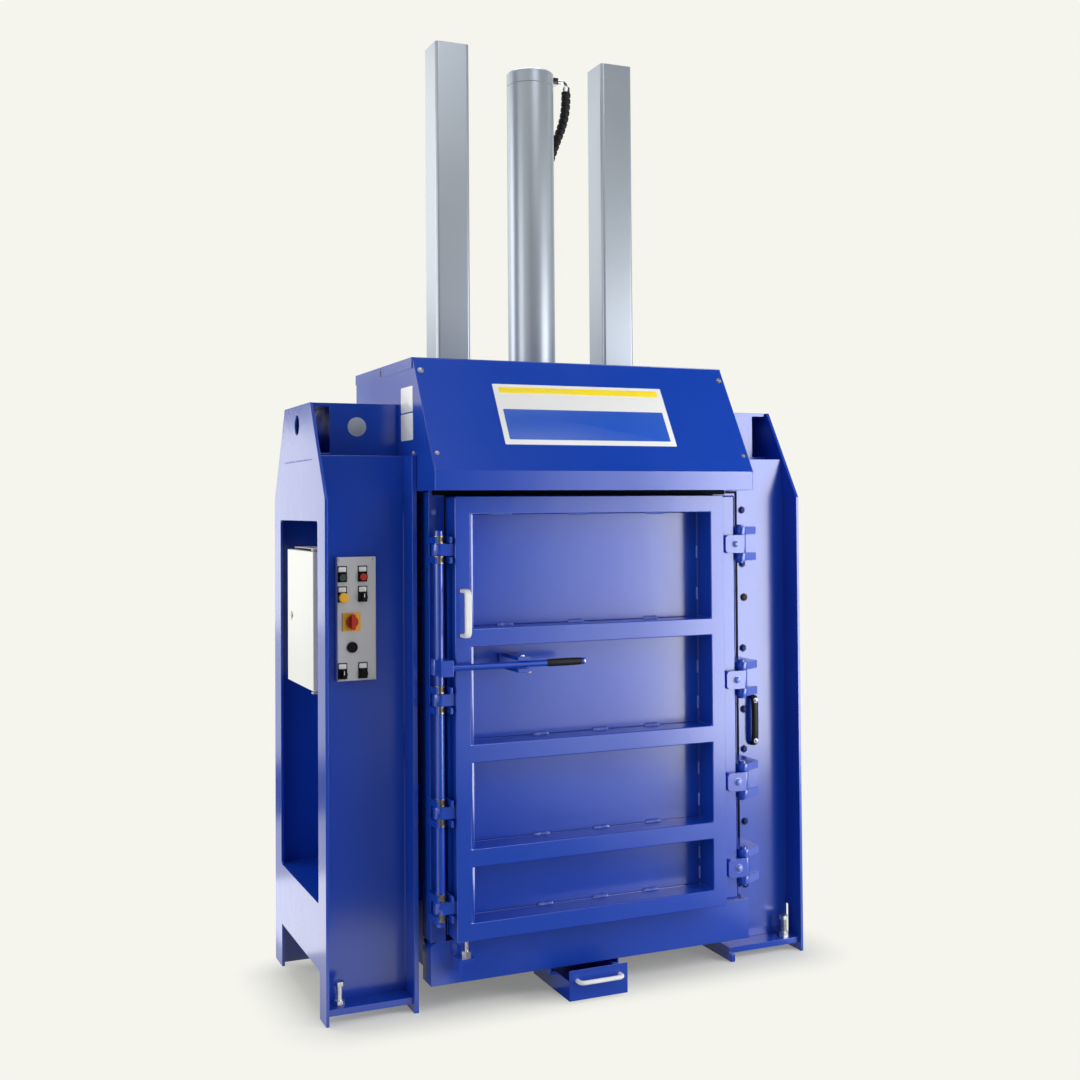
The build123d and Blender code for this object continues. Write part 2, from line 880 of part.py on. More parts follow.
lever_start_x = shaft_x + clevis_w / 2
lever_end_x = shaft_x + lever_length
with BuildPart() as lock_lever:
    with BuildSketch(sideways(lever_start_x)):
        dot(lever_y, lever_height, lever_d / 2)
    extrude(amount=lever_end_x - lever_start_x)
save(lock_lever, "lock_lever")

with BuildPart() as lever_grip:
    with BuildSketch(sideways(lever_end_x - grip_length)):
        dot(lever_y, lever_height, grip_d / 2)
    extrude(amount=grip_length - grip_end_gap)
    fillet(lever_grip.edges().filter_by(GeomType.CIRCLE), grip_edge_r)
    with BuildSketch(sideways(lever_end_x - grip_length - overrun)):
        dot(lever_y, lever_height, lever_d / 2)
    extrude(amount=grip_length + 2 * overrun, mode=Mode.SUBTRACT)
save(lever_grip, "lever_grip")

with BuildPart() as lever_keeper:
    arm_half = lever_d / 2 + keeper_gap + keeper_arm_t
    with BuildSketch(upright(door_panel_y)):
        span(
            keeper_x - keeper_base_w / 2,
            keeper_x + keeper_base_w / 2,
            lever_height - arm_half,
            lever_height + arm_half,
        )
    extrude(amount=keeper_base_t)
    with BuildSketch(upright(door_panel_y - keeper_base_t)):
        for arm_low in (lever_height - arm_half, lever_height + arm_half - keeper_arm_t):
            span(keeper_x - keeper_w / 2, keeper_x + keeper_w / 2, arm_low, arm_low + keeper_arm_t)
    extrude(amount=door_panel_y - keeper_base_t - lever_y + keeper_over)
save(lever_keeper, "lever_keeper")


# Bow handles, a bent rod on two legs
def bow_path(plane, u_foot, u_reach, v_low, v_high):
    """Path of a bow handle on a plane: out from the foot, along, and back to the foot."""
    with BuildLine(plane) as path:
        FilletPolyline(
            (u_foot, v_low),
            (u_reach, v_low),
            (u_reach, v_high),
            (u_foot, v_high),
            radius=handle_bend,
        )
    return path


with BuildPart() as door_handle:
    stile_x = -door_left + door_stile / 2
    grip_height = door_bottom + door_handle_share * door_height
    grip_path = bow_path(
        sideways(stile_x),
        door_y,
        door_y - handle_reach,
        grip_height - door_handle_span / 2,
        grip_height + door_handle_span / 2,
    )
    with BuildSketch(Plane(origin=grip_path.line @ 0, x_dir=(1, 0, 0), z_dir=grip_path.line % 0)):
        RectangleRounded(door_handle_w, door_handle_t, door_handle_edge)
    sweep(path=grip_path.line)
save(door_handle, "door_handle")

with BuildPart() as web_handle:
    grip_height = (station_heights[1] + station_heights[2]) / 2
    web_handle_span = web_handle_share * (station_heights[2] - station_heights[1])
    grip_path = bow_path(
        sideways(side_in_x - web_handle_inset),
        web_y,
        web_y - handle_reach,
        grip_height - web_handle_span / 2,
        grip_height + web_handle_span / 2,
    )
    with BuildSketch(Plane(origin=grip_path.line @ 0, z_dir=grip_path.line % 0)):
        Circle(handle_d / 2)
    sweep(path=grip_path.line)
save(web_handle, "web_handle")

# Rest for the free end of the door: a ledge and fin on the sill, with a bolt that stands under the door
rest_x = -door_left + rest_inset
rest_top = floor_top - rest_drop
rest_left_x = rest_x - rest_ledge_w / 2
with BuildPart() as door_rest_bracket:
    with BuildSketch(upright(surround_y)):
        span(rest_left_x, rest_left_x + rest_ledge_w, rest_top - rest_ledge_t, rest_top)
        span(rest_left_x - rest_fin_t, rest_left_x, rest_top - rest_fin_h, rest_top)
    extrude(amount=rest_reach)
save(door_rest_bracket, "door_rest_bracket")

with BuildPart() as door_rest_bolt:
    with BuildSketch(level(rest_top)):
        with Locations((rest_x, surround_y - rest_bolt_setback)):
            RegularPolygon(rest_nut_r, hex_sides)
    extrude(amount=rest_nut_h)
    with BuildSketch(level(rest_top)):
        dot(rest_x, surround_y - rest_bolt_setback, rest_bolt_d / 2)
    extrude(amount=door_bottom - rest_bolt_gap - rest_top)
save(door_rest_bolt, "door_rest_bolt")

# Drip drawer: open tray with rolled lips on two angle runners, and a taller front
drawer_y = web_y - drawer_front
drawer_top = drawer_bottom + drawer_body_h
drawer_half = drawer_width / 2
lip_reach = drawer_half + drawer_lip
drawer_left_x = -drawer_shift - drawer_half
drawer_right_x = drawer_half - drawer_shift
with BuildPart() as drawer_tray:
    with BuildSketch(upright(drawer_y)):
        span(drawer_left_x, drawer_right_x, drawer_bottom, drawer_top)
    extrude(amount=-drawer_length)
    with BuildSketch(level(drawer_bottom + drawer_wall)):
        span(
            drawer_left_x + drawer_wall,
            drawer_right_x - drawer_wall,
            drawer_y + drawer_wall,
            drawer_y + drawer_length - drawer_wall,
        )
    extrude(amount=drawer_body_h, mode=Mode.SUBTRACT)
    with BuildSketch(level(drawer_top - drawer_wall)):
        for lip_low in (drawer_left_x - drawer_lip, drawer_right_x):
            span(lip_low, lip_low + drawer_lip, surround_y, drawer_y + drawer_length)
    extrude(amount=drawer_wall)
    with BuildSketch(upright(drawer_y)) as drawer_face:
        span(drawer_left_x, drawer_right_x, drawer_bottom, drawer_bottom + drawer_face_h)
    extrude(amount=-drawer_wall)
save(drawer_tray, "drawer_tray")

with BuildPart() as drawer_handle:
    handle_z = drawer_bottom + drawer_handle_share * drawer_face_h
    grip_path = bow_path(
        Plane(origin=(-drawer_shift, 0, handle_z), x_dir=(0, 1, 0), z_dir=(0, 0, -1)),
        drawer_y,
        front_y + handle_d / 2,
        -drawer_handle_span / 2,
        drawer_handle_span / 2,
    )
    with BuildSketch(Plane(origin=grip_path.line @ 0, z_dir=grip_path.line % 0)):
        Circle(handle_d / 2)
    sweep(path=grip_path.line)
save(drawer_handle, "drawer_handle")

with BuildPart() as drawer_runners:
    ledge_z = drawer_top - drawer_wall - seat_gap
    outer_x = lip_reach + runner_side_gap + runner_wall
    ledge_x = drawer_half + runner_side_gap
    with BuildSketch(upright(surround_y)):
        for side in (-1, 1):
            outline(
                (side * outer_x - drawer_shift, chamber_bottom),
                (side * (outer_x - runner_wall) - drawer_shift, chamber_bottom),
                (side * (outer_x - runner_wall) - drawer_shift, ledge_z),
                (side * ledge_x - drawer_shift, ledge_z),
                (side * ledge_x - drawer_shift, ledge_z - runner_wall),
                (side * outer_x - drawer_shift, ledge_z - runner_wall),
            )
    extrude(amount=-runner_length)
save(drawer_runners, "drawer_runners")

# Hood: folded front, two side panels and a roof with turned-down edges
roof_low = hood_top - hood_sheet
slope_run = hood_lean / (hood_top - hood_fold)
sheet_across = hood_sheet * sqrt(1 + slope_run**2)
lip_y = hood_slope_y - hood_sheet * slope_run
with BuildPart() as hood_front:
    with BuildSketch(sideways(-hood_half + hood_sheet)):
        outline(
            (lip_y, roof_low),
            (front_y, hood_fold),
            (front_y, hood_bottom),
            (front_y + hood_sheet, hood_bottom),
            (front_y + hood_sheet, hood_fold - (sheet_across - hood_sheet) / slope_run),
            (lip_y + sheet_across, roof_low),
        )
    extrude(amount=2 * (hood_half - hood_sheet))
save(hood_front, "hood_front")

corner_y = front_y + hood_corner_in
with BuildPart() as hood_sides:
    for side_x in (-hood_half, hood_half - hood_sheet):
        with BuildSketch(sideways(side_x)):
            outline(
                (lip_y, roof_low),
                (front_y, hood_fold),
                (front_y, hood_bottom),
                (corner_y, hood_bottom),
                (corner_y + hood_corner_run, hood_corner_top),
                (beam_front_y - hood_side_gap, hood_corner_top),
                (beam_front_y - hood_side_gap, side_height),
                (hood_rear_y, side_height),
                (hood_rear_y, roof_low),
            )
        extrude(amount=hood_sheet)
save(hood_sides, "hood_sides")

roof_x = hood_half + hood_sheet
with BuildPart() as hood_roof:
    with BuildSketch(upright(hood_rear_y)):
        span(-roof_x, roof_x, hood_top - hood_flange, hood_top)
        span(-hood_half, hood_half, hood_top - hood_flange, hood_top - hood_sheet, Mode.SUBTRACT)
    extrude(amount=hood_rear_y - hood_slope_y)
    with BuildSketch(upright(hood_rear_y)):
        span(-hood_half + hood_sheet, hood_half - hood_sheet, side_height, hood_top)
    extrude(amount=hood_sheet)
    with BuildSketch(level(hood_top - hood_sheet - overrun)):
        dot(0, press_y, barrel_r + hood_hole_gap)
        with Locations((-guide_x, press_y), (guide_x, press_y)):
            Rectangle(guide_size + 2 * hood_hole_gap, guide_size + 2 * hood_hole_gap)
    extrude(amount=hood_sheet + 2 * overrun, mode=Mode.SUBTRACT)
save(hood_roof, "hood_roof")

# Hydraulic hose from the cap's port down to a gland in the roof
hose_low = hood_top + gland_h
hose_high = cylinder_top - ferrule_drop
hose_route = [
    (reach, press_y + back, hose_low + share * (hose_high - hose_low))
    for (reach, back), share in zip(hose_offsets, hose_height_shares)
]
hose_x = hose_route[0][0]
port_z = cylinder_top - port_drop
with BuildPart() as hose_elbow:
    with BuildSketch(sideways(0)):
        span(press_y - port_w / 2, press_y + port_w / 2, port_z - port_w / 2, port_z + port_drop - cap_chamfer)
    extrude(amount=barrel_r + port_reach)
    with BuildSketch(level(port_z - port_w)):
        dot(0, press_y, barrel_r)
    extrude(amount=2 * port_w, mode=Mode.SUBTRACT)
    with BuildLine(upright(press_y)) as elbow_line:
        FilletPolyline(
            (barrel_r + port_reach, port_z),
            (hose_x, port_z),
            (hose_x, hose_high + ferrule_h),
            radius=elbow_bend,
        )
    with BuildSketch(Plane(origin=elbow_line.line @ 0, z_dir=elbow_line.line % 0)):
        Circle(elbow_d / 2)
    sweep(path=elbow_line.line)
    with BuildSketch(level(hose_high)):
        dot(hose_x, press_y, ferrule_d / 2)
    extrude(amount=ferrule_h)
save(hose_elbow, "hose_elbow")


def bend_radii(points):
    """Largest arc at each inner point: a share of its shorter run over the tangent of half the turn."""
    radii = []
    for before, here, after in zip(points, points[1:], points[2:]):
        run_in = Vector(*here) - Vector(*before)
        run_out = Vector(*after) - Vector(*here)
        half_turn = radians(run_in.get_angle(run_out)) / 2
        radii.append(bend_share * min(run_in.length, run_out.length) / tan(half_turn))
    return radii


hose_radii = bend_radii(hose_route)
print("hose bend radii", [round(radius) for radius in hose_radii])
with BuildPart() as hydraulic_hose:
    with BuildLine() as hose_line:
        FilletPolyline(*hose_route, radius=hose_radii)
    with BuildSketch(Plane(origin=hose_line.line @ 0, z_dir=hose_line.line % 0)):
        Circle(hose_d / 2)
    sweep(path=hose_line.line)
print("hose length", round(hose_line.wire().length))
save(hydraulic_hose, "hydraulic_hose")

with BuildPart() as hose_gland:
    with BuildSketch(level(hood_top)):
        dot(hose_route[-1][0], hose_route[-1][1], gland_d / 2)
    extrude(amount=gland_h)
    fillet(hose_gland.faces().sort_by(Axis.Z)[-1].edges(), door_edge_r)
save(hose_gland, "hose_gland")


# Control box with its buttons
def panel_place(u_share, v_share):
    """Point on the control box's face from shares of its width and height."""
    return panel_left_x + u_share * panel_width, panel_bottom + v_share * panel_height


left_share, right_share = button_column_shares
top_row, middle_row, low_row = button_row_shares
start_place = panel_place(left_share, top_row)
stop_place = panel_place(right_share, top_row)
lamp_place = panel_place(left_share, middle_row)
upper_place = panel_place(right_share, middle_row)
lower_place = panel_place(left_share, low_row)
push_place = panel_place(right_share, low_row)
switch_place = panel_place(*switch_place_shares)
blank_place = panel_place(*blank_place_shares)
legend_y = panel_front_y - legend_t
collar_y = legend_y - collar_h

with BuildPart() as control_box:
    with BuildSketch(upright(web_y)):
        span(panel_left_x, panel_left_x + panel_width, panel_bottom, panel_bottom + panel_height)
    extrude(amount=panel_t)
    fillet(control_box.faces().sort_by(Axis.Y)[0].edges(), panel_edge_r)
save(control_box, "control_box")

with BuildPart() as switch_collars:
    for place_u, place_v in (start_place, stop_place, lamp_place, upper_place, lower_place, push_place):
        legend_low = place_v - legend_low_share * legend_h
        with BuildSketch(upright(panel_front_y)):
            span(place_u - legend_w / 2, place_u + legend_w / 2, legend_low, legend_low + legend_h)
        extrude(amount=legend_t)
        with BuildSketch(upright(legend_y)):
            dot(place_u, place_v, collar_r)
        extrude(amount=collar_h)
        with BuildSketch(upright(panel_front_y)):
            dot(place_u, place_v, cap_r + cap_gap)
        extrude(amount=legend_t + collar_h + overrun, mode=Mode.SUBTRACT)
    with BuildSketch(upright(panel_front_y)):
        dot(*blank_place, blank_r)
    extrude(amount=blank_h)
save(switch_collars, "switch_collars")


cap_back = upright(collar_y + cap_back_gap)
with BuildPart() as push_start:
    with BuildSketch(cap_back):
        dot(*start_place, cap_r)
    extrude(amount=cap_back_gap + cap_proud)
save(push_start, "push_start")

with BuildPart() as push_stop:
    with BuildSketch(cap_back):
        dot(*stop_place, cap_r)
    extrude(amount=cap_back_gap + cap_proud)
save(push_stop, "push_stop")

with BuildPart() as push_lower:
    with BuildSketch(cap_back):
        dot(*push_place, cap_r)
    extrude(amount=cap_back_gap + cap_proud)
save(push_lower, "push_lower")

with BuildPart() as push_lamp:
    with BuildSketch(cap_back):
        dot(*lamp_place, cap_r)
    extrude(amount=cap_back_gap + lamp_gap)
    with BuildSketch(upright(collar_y - lamp_gap)):
        dot(*lamp_place, lamp_r)
    extrude(amount=lamp_h)
    fillet(push_lamp.faces().sort_by(Axis.Y)[0].edges(), panel_edge_r)
save(push_lamp, "push_lamp")


with BuildPart() as selector_upper:
    with BuildSketch(cap_back):
        dot(*upper_place, cap_r)
    extrude(amount=cap_back_gap + cap_gap)
    with BuildSketch(upright(collar_y - cap_gap)):
        with Locations(upper_place):
            SlotOverall(knob_l, knob_w, rotation=quarter_turn)
    extrude(amount=knob_h)
save(selector_upper, "selector_upper")

with BuildPart() as selector_lower:
    with BuildSketch(cap_back):
        dot(*lower_place, cap_r)
    extrude(amount=cap_back_gap + cap_gap)
    with BuildSketch(upright(collar_y - cap_gap)):
        with Locations(lower_place):
            SlotOverall(knob_l, knob_w, rotation=quarter_turn)
    extrude(amount=knob_h)
save(selector_lower, "selector_lower")

with BuildPart() as main_switch_plate:
    with BuildSketch(upright(panel_front_y)):
        with Locations(switch_place):
            Rectangle(switch_plate, switch_plate)
    extrude(amount=switch_plate_t)
save(main_switch_plate, "main_switch_plate")

with BuildPart() as main_switch_handle:
    switch_y = panel_front_y - switch_plate_t - seat_gap
    with BuildSketch(upright(switch_y)):
        dot(*switch_place, switch_disc_r)
    extrude(amount=switch_disc_h)
    with BuildSketch(upright(switch_y - switch_disc_h)):
        with Locations(switch_place):
            SlotOverall(switch_bar_l, switch_bar_w, rotation=quarter_turn)
    extrude(amount=switch_bar_h)
save(main_switch_handle, "main_switch_handle")

# Electrical cabinet in the window of the left side plate
cabinet_top = cabinet_bottom + cabinet_height
pivot_x = (leaf_out_x + leaf_in_x) / 2
pivot_y = cabinet_y + cabinet_pivot_in
leaf_low = cabinet_bottom + cabinet_ear_t + cabinet_door_gap
leaf_high = cabinet_top - cabinet_ear_t - cabinet_door_gap

with BuildPart() as cabinet_box:
    with BuildSketch(sideways(cabinet_front_x)):
        span(cabinet_y, cabinet_y + cabinet_width, cabinet_bottom, cabinet_top)
    extrude(amount=cabinet_depth)
    with BuildSketch(sideways(cabinet_front_x)):
        span(
            cabinet_y + cabinet_wall,
            cabinet_y + cabinet_width - cabinet_wall,
            cabinet_bottom + cabinet_wall,
            cabinet_top - cabinet_wall,
        )
    extrude(amount=cabinet_depth - cabinet_wall, mode=Mode.SUBTRACT)
    plate_x = cabinet_back_x - cabinet_wall - mount_plate_standoff
    with BuildSketch(sideways(plate_x)):
        span(
            cabinet_y + mount_plate_inset,
            cabinet_y + cabinet_width - mount_plate_inset,
            cabinet_bottom + mount_plate_inset,
            cabinet_top - mount_plate_inset,
        )
    extrude(amount=-mount_plate_t)
    with BuildSketch(sideways(plate_x)):
        for post_v in (cabinet_bottom + 2 * mount_plate_inset, cabinet_top - 2 * mount_plate_inset):
            for post_u in (cabinet_y + 2 * mount_plate_inset, cabinet_y + cabinet_width - 2 * mount_plate_inset):
                dot(post_u, post_v, cabinet_pivot_d / 2)
    extrude(amount=mount_plate_standoff)
    for ear_z in (cabinet_bottom, cabinet_top - cabinet_ear_t):
        with BuildSketch(level(ear_z)):
            span(leaf_out_x, cabinet_front_x + cabinet_wall, cabinet_y, cabinet_y + cabinet_ear)
        extrude(amount=cabinet_ear_t)
    for pin_z in (cabinet_bottom + cabinet_ear_t, cabinet_top - cabinet_ear_t - cabinet_pivot_l):
        with BuildSketch(level(pin_z)):
            dot(pivot_x, pivot_y, cabinet_pivot_d / 2)
        extrude(amount=cabinet_pivot_l)
save(cabinet_box, "cabinet_box")

with BuildPart() as cabinet_door:
    with BuildSketch(sideways(leaf_out_x)):
        span(cabinet_y, cabinet_y + cabinet_width, leaf_low, leaf_high)
    extrude(amount=cabinet_door_t)
    fillet(cabinet_door.faces().sort_by(Axis.X)[0].edges(), door_edge_r)
    for pin_z in (leaf_low - overrun, leaf_high - cabinet_pivot_l):
        with BuildSketch(level(pin_z)):
            dot(pivot_x, pivot_y, cabinet_pivot_d / 2 + run_fit)
        extrude(amount=cabinet_pivot_l + overrun, mode=Mode.SUBTRACT)
save(cabinet_door, "cabinet_door")

with BuildPart() as cabinet_lock:
    lock_y = cabinet_y + cabinet_lock_share * cabinet_width
    lock_z = (cabinet_bottom + cabinet_top) / 2
    with BuildSketch(sideways(leaf_out_x - seat_gap)):
        dot(lock_y, lock_z, cabinet_lock_d / 2)
    extrude(amount=-cabinet_lock_h)
    with BuildSketch(sideways(leaf_out_x - seat_gap - cabinet_lock_h)):
        with Locations((lock_y, lock_z)):
            Rectangle(cabinet_lock_slot, cabinet_lock_d / 2)
    extrude(amount=cabinet_lock_slot, mode=Mode.SUBTRACT)
save(cabinet_lock, "cabinet_lock")

# Braces inside the columns: a shelf, the cabinet's rails and the ties to the chamber
tie_y = side_front_y + tie_setback
with BuildPart() as column_braces:
    with BuildSketch(level(window_bottom - shelf_t)):
        span(-side_in_x, -wall_out_x, web_back_y, rear_in_y)
    extrude(amount=shelf_t)
    with BuildSketch(sideways(cabinet_back_x)):
        for share in cabinet_rail_shares:
            rail_z = cabinet_bottom + share * cabinet_height
            span(
                cabinet_y + cabinet_rail_inset,
                cabinet_y + cabinet_width - cabinet_rail_inset,
                rail_z - cabinet_rail_h / 2,
                rail_z + cabinet_rail_h / 2,
            )
    extrude(amount=-wall_out_x - cabinet_back_x)
    with BuildSketch(upright(tie_y + tie_t)):
        for share in tie_height_shares:
            tie_z = share * column_height
            span(-wall_in_x, -chamber_out_x, tie_z, tie_z + tie_h)
            span(chamber_out_x, wall_in_x, tie_z, tie_z + tie_h)
    extrude(amount=tie_t)
save(column_braces, "column_braces")
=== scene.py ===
"""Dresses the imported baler: paint, small fasteners, weld beads, labels, hose, floor, light and camera."""

import bmesh
import bpy
import numpy as np
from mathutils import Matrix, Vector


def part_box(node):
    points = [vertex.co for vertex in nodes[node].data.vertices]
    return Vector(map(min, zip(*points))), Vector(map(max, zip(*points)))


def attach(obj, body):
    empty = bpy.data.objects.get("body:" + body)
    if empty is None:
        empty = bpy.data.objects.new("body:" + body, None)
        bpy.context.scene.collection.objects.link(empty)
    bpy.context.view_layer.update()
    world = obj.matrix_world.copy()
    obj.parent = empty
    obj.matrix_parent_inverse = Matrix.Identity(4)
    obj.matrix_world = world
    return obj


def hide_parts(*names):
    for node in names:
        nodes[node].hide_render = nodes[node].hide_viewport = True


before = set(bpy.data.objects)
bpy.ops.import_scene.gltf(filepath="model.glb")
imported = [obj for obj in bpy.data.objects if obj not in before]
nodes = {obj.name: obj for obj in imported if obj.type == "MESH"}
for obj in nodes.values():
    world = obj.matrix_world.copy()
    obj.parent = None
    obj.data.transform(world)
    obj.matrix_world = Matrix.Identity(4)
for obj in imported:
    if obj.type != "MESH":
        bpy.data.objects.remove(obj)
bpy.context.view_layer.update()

ACROSS = np.array([1.0, 0.0, 0.0])
BACK = np.array([0.0, 1.0, 0.0])
UP = np.array([0.0, 0.0, 1.0])
FRONT = -BACK

# Places on the machine, metres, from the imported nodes
web_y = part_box("front_web_left")[0][1]
side_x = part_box("side_plate_right")[1][0]
door_low, door_high = (np.array(corner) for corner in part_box("door_panel"))
door_front_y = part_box("door_frame")[0][1]
panel_low, panel_high = (np.array(corner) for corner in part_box("control_box"))
cabinet_low, cabinet_high = (np.array(corner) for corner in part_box("cabinet_door"))
hood_low = np.array(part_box("hood_front")[0])

# Places given: the hood's side faces, the front of the posts, the height of the shaded gap over the door
HOOD_SIDE_X, POST_FRONT_Y, TOP_GAP_Z = 0.564, -0.300, 1.6225

# Front of the hood: an upright band at its foot, then a slope that leans back over its rise
HOOD_BAND, HOOD_LEAN, HOOD_RISE = 0.061, 0.214, 0.366
hood_fold_z = hood_low[2] + HOOD_BAND
hood_slope = np.array([0.0, HOOD_LEAN, HOOD_RISE]) / np.hypot(HOOD_LEAN, HOOD_RISE)
hood_outward = np.cross(ACROSS, hood_slope)

# Limits, metres and radians
DOUBLES = 1e-6
WELD_DISTANCE = 0.00002
SMOOTH_LIMIT, FLAT_LIMIT, EDGE_LIMIT = np.radians([38.0, 1.0, 40.0])


# Mesh making: every shape is a pair, the array of its points and the list of its faces

def lattice(rings, steps):
    """Quads between rings: each joins a point to the next one round its ring and to the ring above."""
    i, j = np.meshgrid(np.arange(rings - 1), np.arange(steps), indexing="ij")
    j2 = (j + 1) % steps
    corners = [i * steps + j, i * steps + j2, (i + 1) * steps + j2, (i + 1) * steps + j]
    return np.stack(corners, -1).reshape(-1, 4).tolist()


def shell(points):
    """Closed skin over a stack of rings: quads round each ring, with the end rings filled."""
    rings, steps = points.shape[:2]
    faces = lattice(rings, steps)
    faces.append(list(range(steps))[::-1])
    faces.append(list(range((rings - 1) * steps, rings * steps)))
    return points.reshape(-1, 3), faces


def together(shapes):
    """One shape from several: the points are stacked and each face counts on from the points before it."""
    starts = np.cumsum([0] + [len(points) for points, _ in shapes])
    faces = [[corner + start for corner in face]
             for (_, own), start in zip(shapes, starts) for face in own]
    return np.concatenate([points for points, _ in shapes]), faces


def axes_about(axis):
    """Two unit directions square to an axis and to each other, and the axis itself at unit length."""
    axis = axis / np.linalg.norm(axis)
    guide = UP if abs(axis[2]) < 0.9 else ACROSS
    side = np.cross(guide, axis)
    side /= np.linalg.norm(side)
    return side, np.cross(axis, side), axis


def turned(place, axis, profile, steps=28, sides=0):
    """Lathe shape: each (radius, height) of the profile is a ring about the axis; with sides, the ring is a
    polygon whose radius is the apothem over the cosine of the angle from the middle of the nearest flat."""
    side, lift, axis = axes_about(np.asarray(axis, float))
    angle = np.linspace(0, 2 * np.pi, steps, endpoint=False)
    shape = np.ones(steps)
    if sides:
        flat = 2 * np.pi / sides
        shape = 1 / np.cos((angle + flat / 2) % flat - flat / 2)
    radius, height = np.asarray(profile, float).T
    ring = np.cos(angle)[:, None] * side + np.sin(angle)[:, None] * lift
    points = np.asarray(place) + radius[:, None, None] * (shape[:, None] * ring)[None]
    points = points + height[:, None, None] * axis
    return shell(points)


def plate(place, across, up, width, height, depth, corner, edge, corner_steps=5):
    """Rounded rectangle carried outwards: rings at growing height, the last drawn in by the edge radius.
    A ring is four corner arcs about centres set in by the corner radius from the sides."""
    across, up = np.asarray(across, float), np.asarray(up, float)
    outward = np.cross(across, up)
    turn = np.linspace(0, np.pi / 2, corner_steps)
    angle = (turn[None, :] + np.arange(4)[:, None] * np.pi / 2).ravel()
    sign_u = np.repeat([1, -1, -1, 1], corner_steps)
    sign_v = np.repeat([1, 1, -1, -1], corner_steps)
    rise = np.array([0, depth - edge, depth - edge * 0.3, depth])
    inset = np.array([0, 0, edge * 0.3, edge])
    radius = np.maximum(corner - inset, 0.0001)[:, None]
    u = sign_u * (width / 2 - corner) + radius * np.cos(angle)
    v = sign_v * (height / 2 - corner) + radius * np.sin(angle)
    points = np.asarray(place) + u[..., None] * across + v[..., None] * up + rise[:, None, None] * outward
    return shell(points)


def swept(path, radius, steps):
    """Tube along a path: at each point a ring square to the tangent, with a radius for every point and step.
    One side of the ring is the tangent crossed with a fixed direction, and the other is square to both."""
    tangent = np.gradient(path, axis=0)
    tangent /= np.linalg.norm(tangent, axis=1)[:, None]
    side = np.cross(tangent, BACK if abs(tangent[0] @ BACK) < 0.8 else ACROSS)
    side /= np.linalg.norm(side, axis=1)[:, None]
    lift = np.cross(tangent, side)
    angle = np.linspace(0, 2 * np.pi, steps, endpoint=False)
    ring = np.cos(angle)[None, :, None] * side[:, None] + np.sin(angle)[None, :, None] * lift[:, None]
    return shell(path[:, None] + radius[..., None] * ring)


BEAD_STEPS = 8


def bead(start, end, radius=0.004, ripple=0.0045):
    """Weld bead: a rod whose radius swells and falls along it as a sine of one ripple. It closes at both ends
    as the root of one less the eighth power of the distance from the middle, in half lengths."""
    start, end = np.asarray(start, float), np.asarray(end, float)
    length = np.linalg.norm(end - start)
    share = np.linspace(0, 1, max(int(length / ripple * 4), 8))
    taper = np.sqrt(np.clip(1 - np.abs(2 * share - 1) ** 8, 0.02, 1))
    swell = 1 + 0.16 * np.sin(2 * np.pi * share * length / ripple)
    path = start + share[:, None] * (end - start)
    return swept(path, (radius * taper * swell)[:, None] * np.ones(BEAD_STEPS), BEAD_STEPS)


def build(name, shape, material, body):
    """Mesh object at the origin: doubles merged, normals turned outwards, riding on a CAD body."""
    points, faces = shape
    mesh = bpy.data.meshes.new(name)
    mesh.from_pydata(points.tolist(), [], faces)
    work = bmesh.new()
    work.from_mesh(mesh)
    bmesh.ops.remove_doubles(work, verts=work.verts, dist=DOUBLES)
    bmesh.ops.recalc_face_normals(work, faces=work.faces)
    work.to_mesh(mesh)
    work.free()
    mesh.shade_smooth()
    mesh.set_sharp_from_angle(angle=SMOOTH_LIMIT)
    mesh.materials.append(material)
    piece = bpy.data.objects.new(name, mesh)
    bpy.context.scene.collection.objects.link(piece)
    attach(piece, body)
    return piece


# Shader nodes

def add(tree, kind, inputs=None, **settings):
    """New node with its settings; an input takes a plain value or another node's output."""
    made = tree.nodes.new(kind)
    for key, value in settings.items():
        setattr(made, key, value)
    for key, value in (inputs or {}).items():
        if isinstance(value, bpy.types.NodeSocket):
            tree.links.new(value, made.inputs[key])
        else:
            made.inputs[key].default_value = value
    return made


def tint(tree, factor, first, second):
    """Colour between the first and the second by the factor."""
    return add(tree, "ShaderNodeMix", {0: factor, 6: first, 7: second}, data_type="RGBA").outputs[2]


def calc(tree, operation, first, second):
    """Plain arithmetic on two values."""
    return add(tree, "ShaderNodeMath", {0: first, 1: second}, operation=operation).outputs[0]


def vectors(tree, operation, *values):
    """Arithmetic on one or two vectors: the outputs of its node."""
    return add(tree, "ShaderNodeVectorMath", dict(enumerate(values)), operation=operation).outputs


def between(tree, value, low, high, to_low=0.0, to_high=1.0):
    """Smooth step of a value from one range into another."""
    inputs = {"Value": value, "From Min": low, "From Max": high, "To Min": to_low, "To Max": to_high}
    return add(tree, "ShaderNodeMapRange", inputs, interpolation_type="SMOOTHSTEP").outputs[0]


def noise(tree, spot, scale, detail=2.0):
    """Plain noise at a spot."""
    return add(tree, "ShaderNodeTexNoise", {"Vector": spot, "Scale": scale, "Detail": detail}).outputs["Fac"]


def cloud(tree, place, scale, detail, stretch=(1, 1, 1)):
    """Noise on the piece's own coordinates, stretched along them."""
    spot = add(tree, "ShaderNodeMapping", {"Vector": place, "Scale": stretch}).outputs[0]
    return noise(tree, spot, scale, detail)


def drifting(tree, base, cause, middle, share):
    """A base value plus a share of how far the cause lies from its middle."""
    return calc(tree, "ADD", base, calc(tree, "MULTIPLY", calc(tree, "SUBTRACT", cause, middle), share))


COLOUR, NUMBER, VECTOR = "NodeSocketColor", "NodeSocketFloat", "NodeSocketVector"
SKIN = {"Color": COLOUR, "Roughness": NUMBER, "Height": NUMBER}


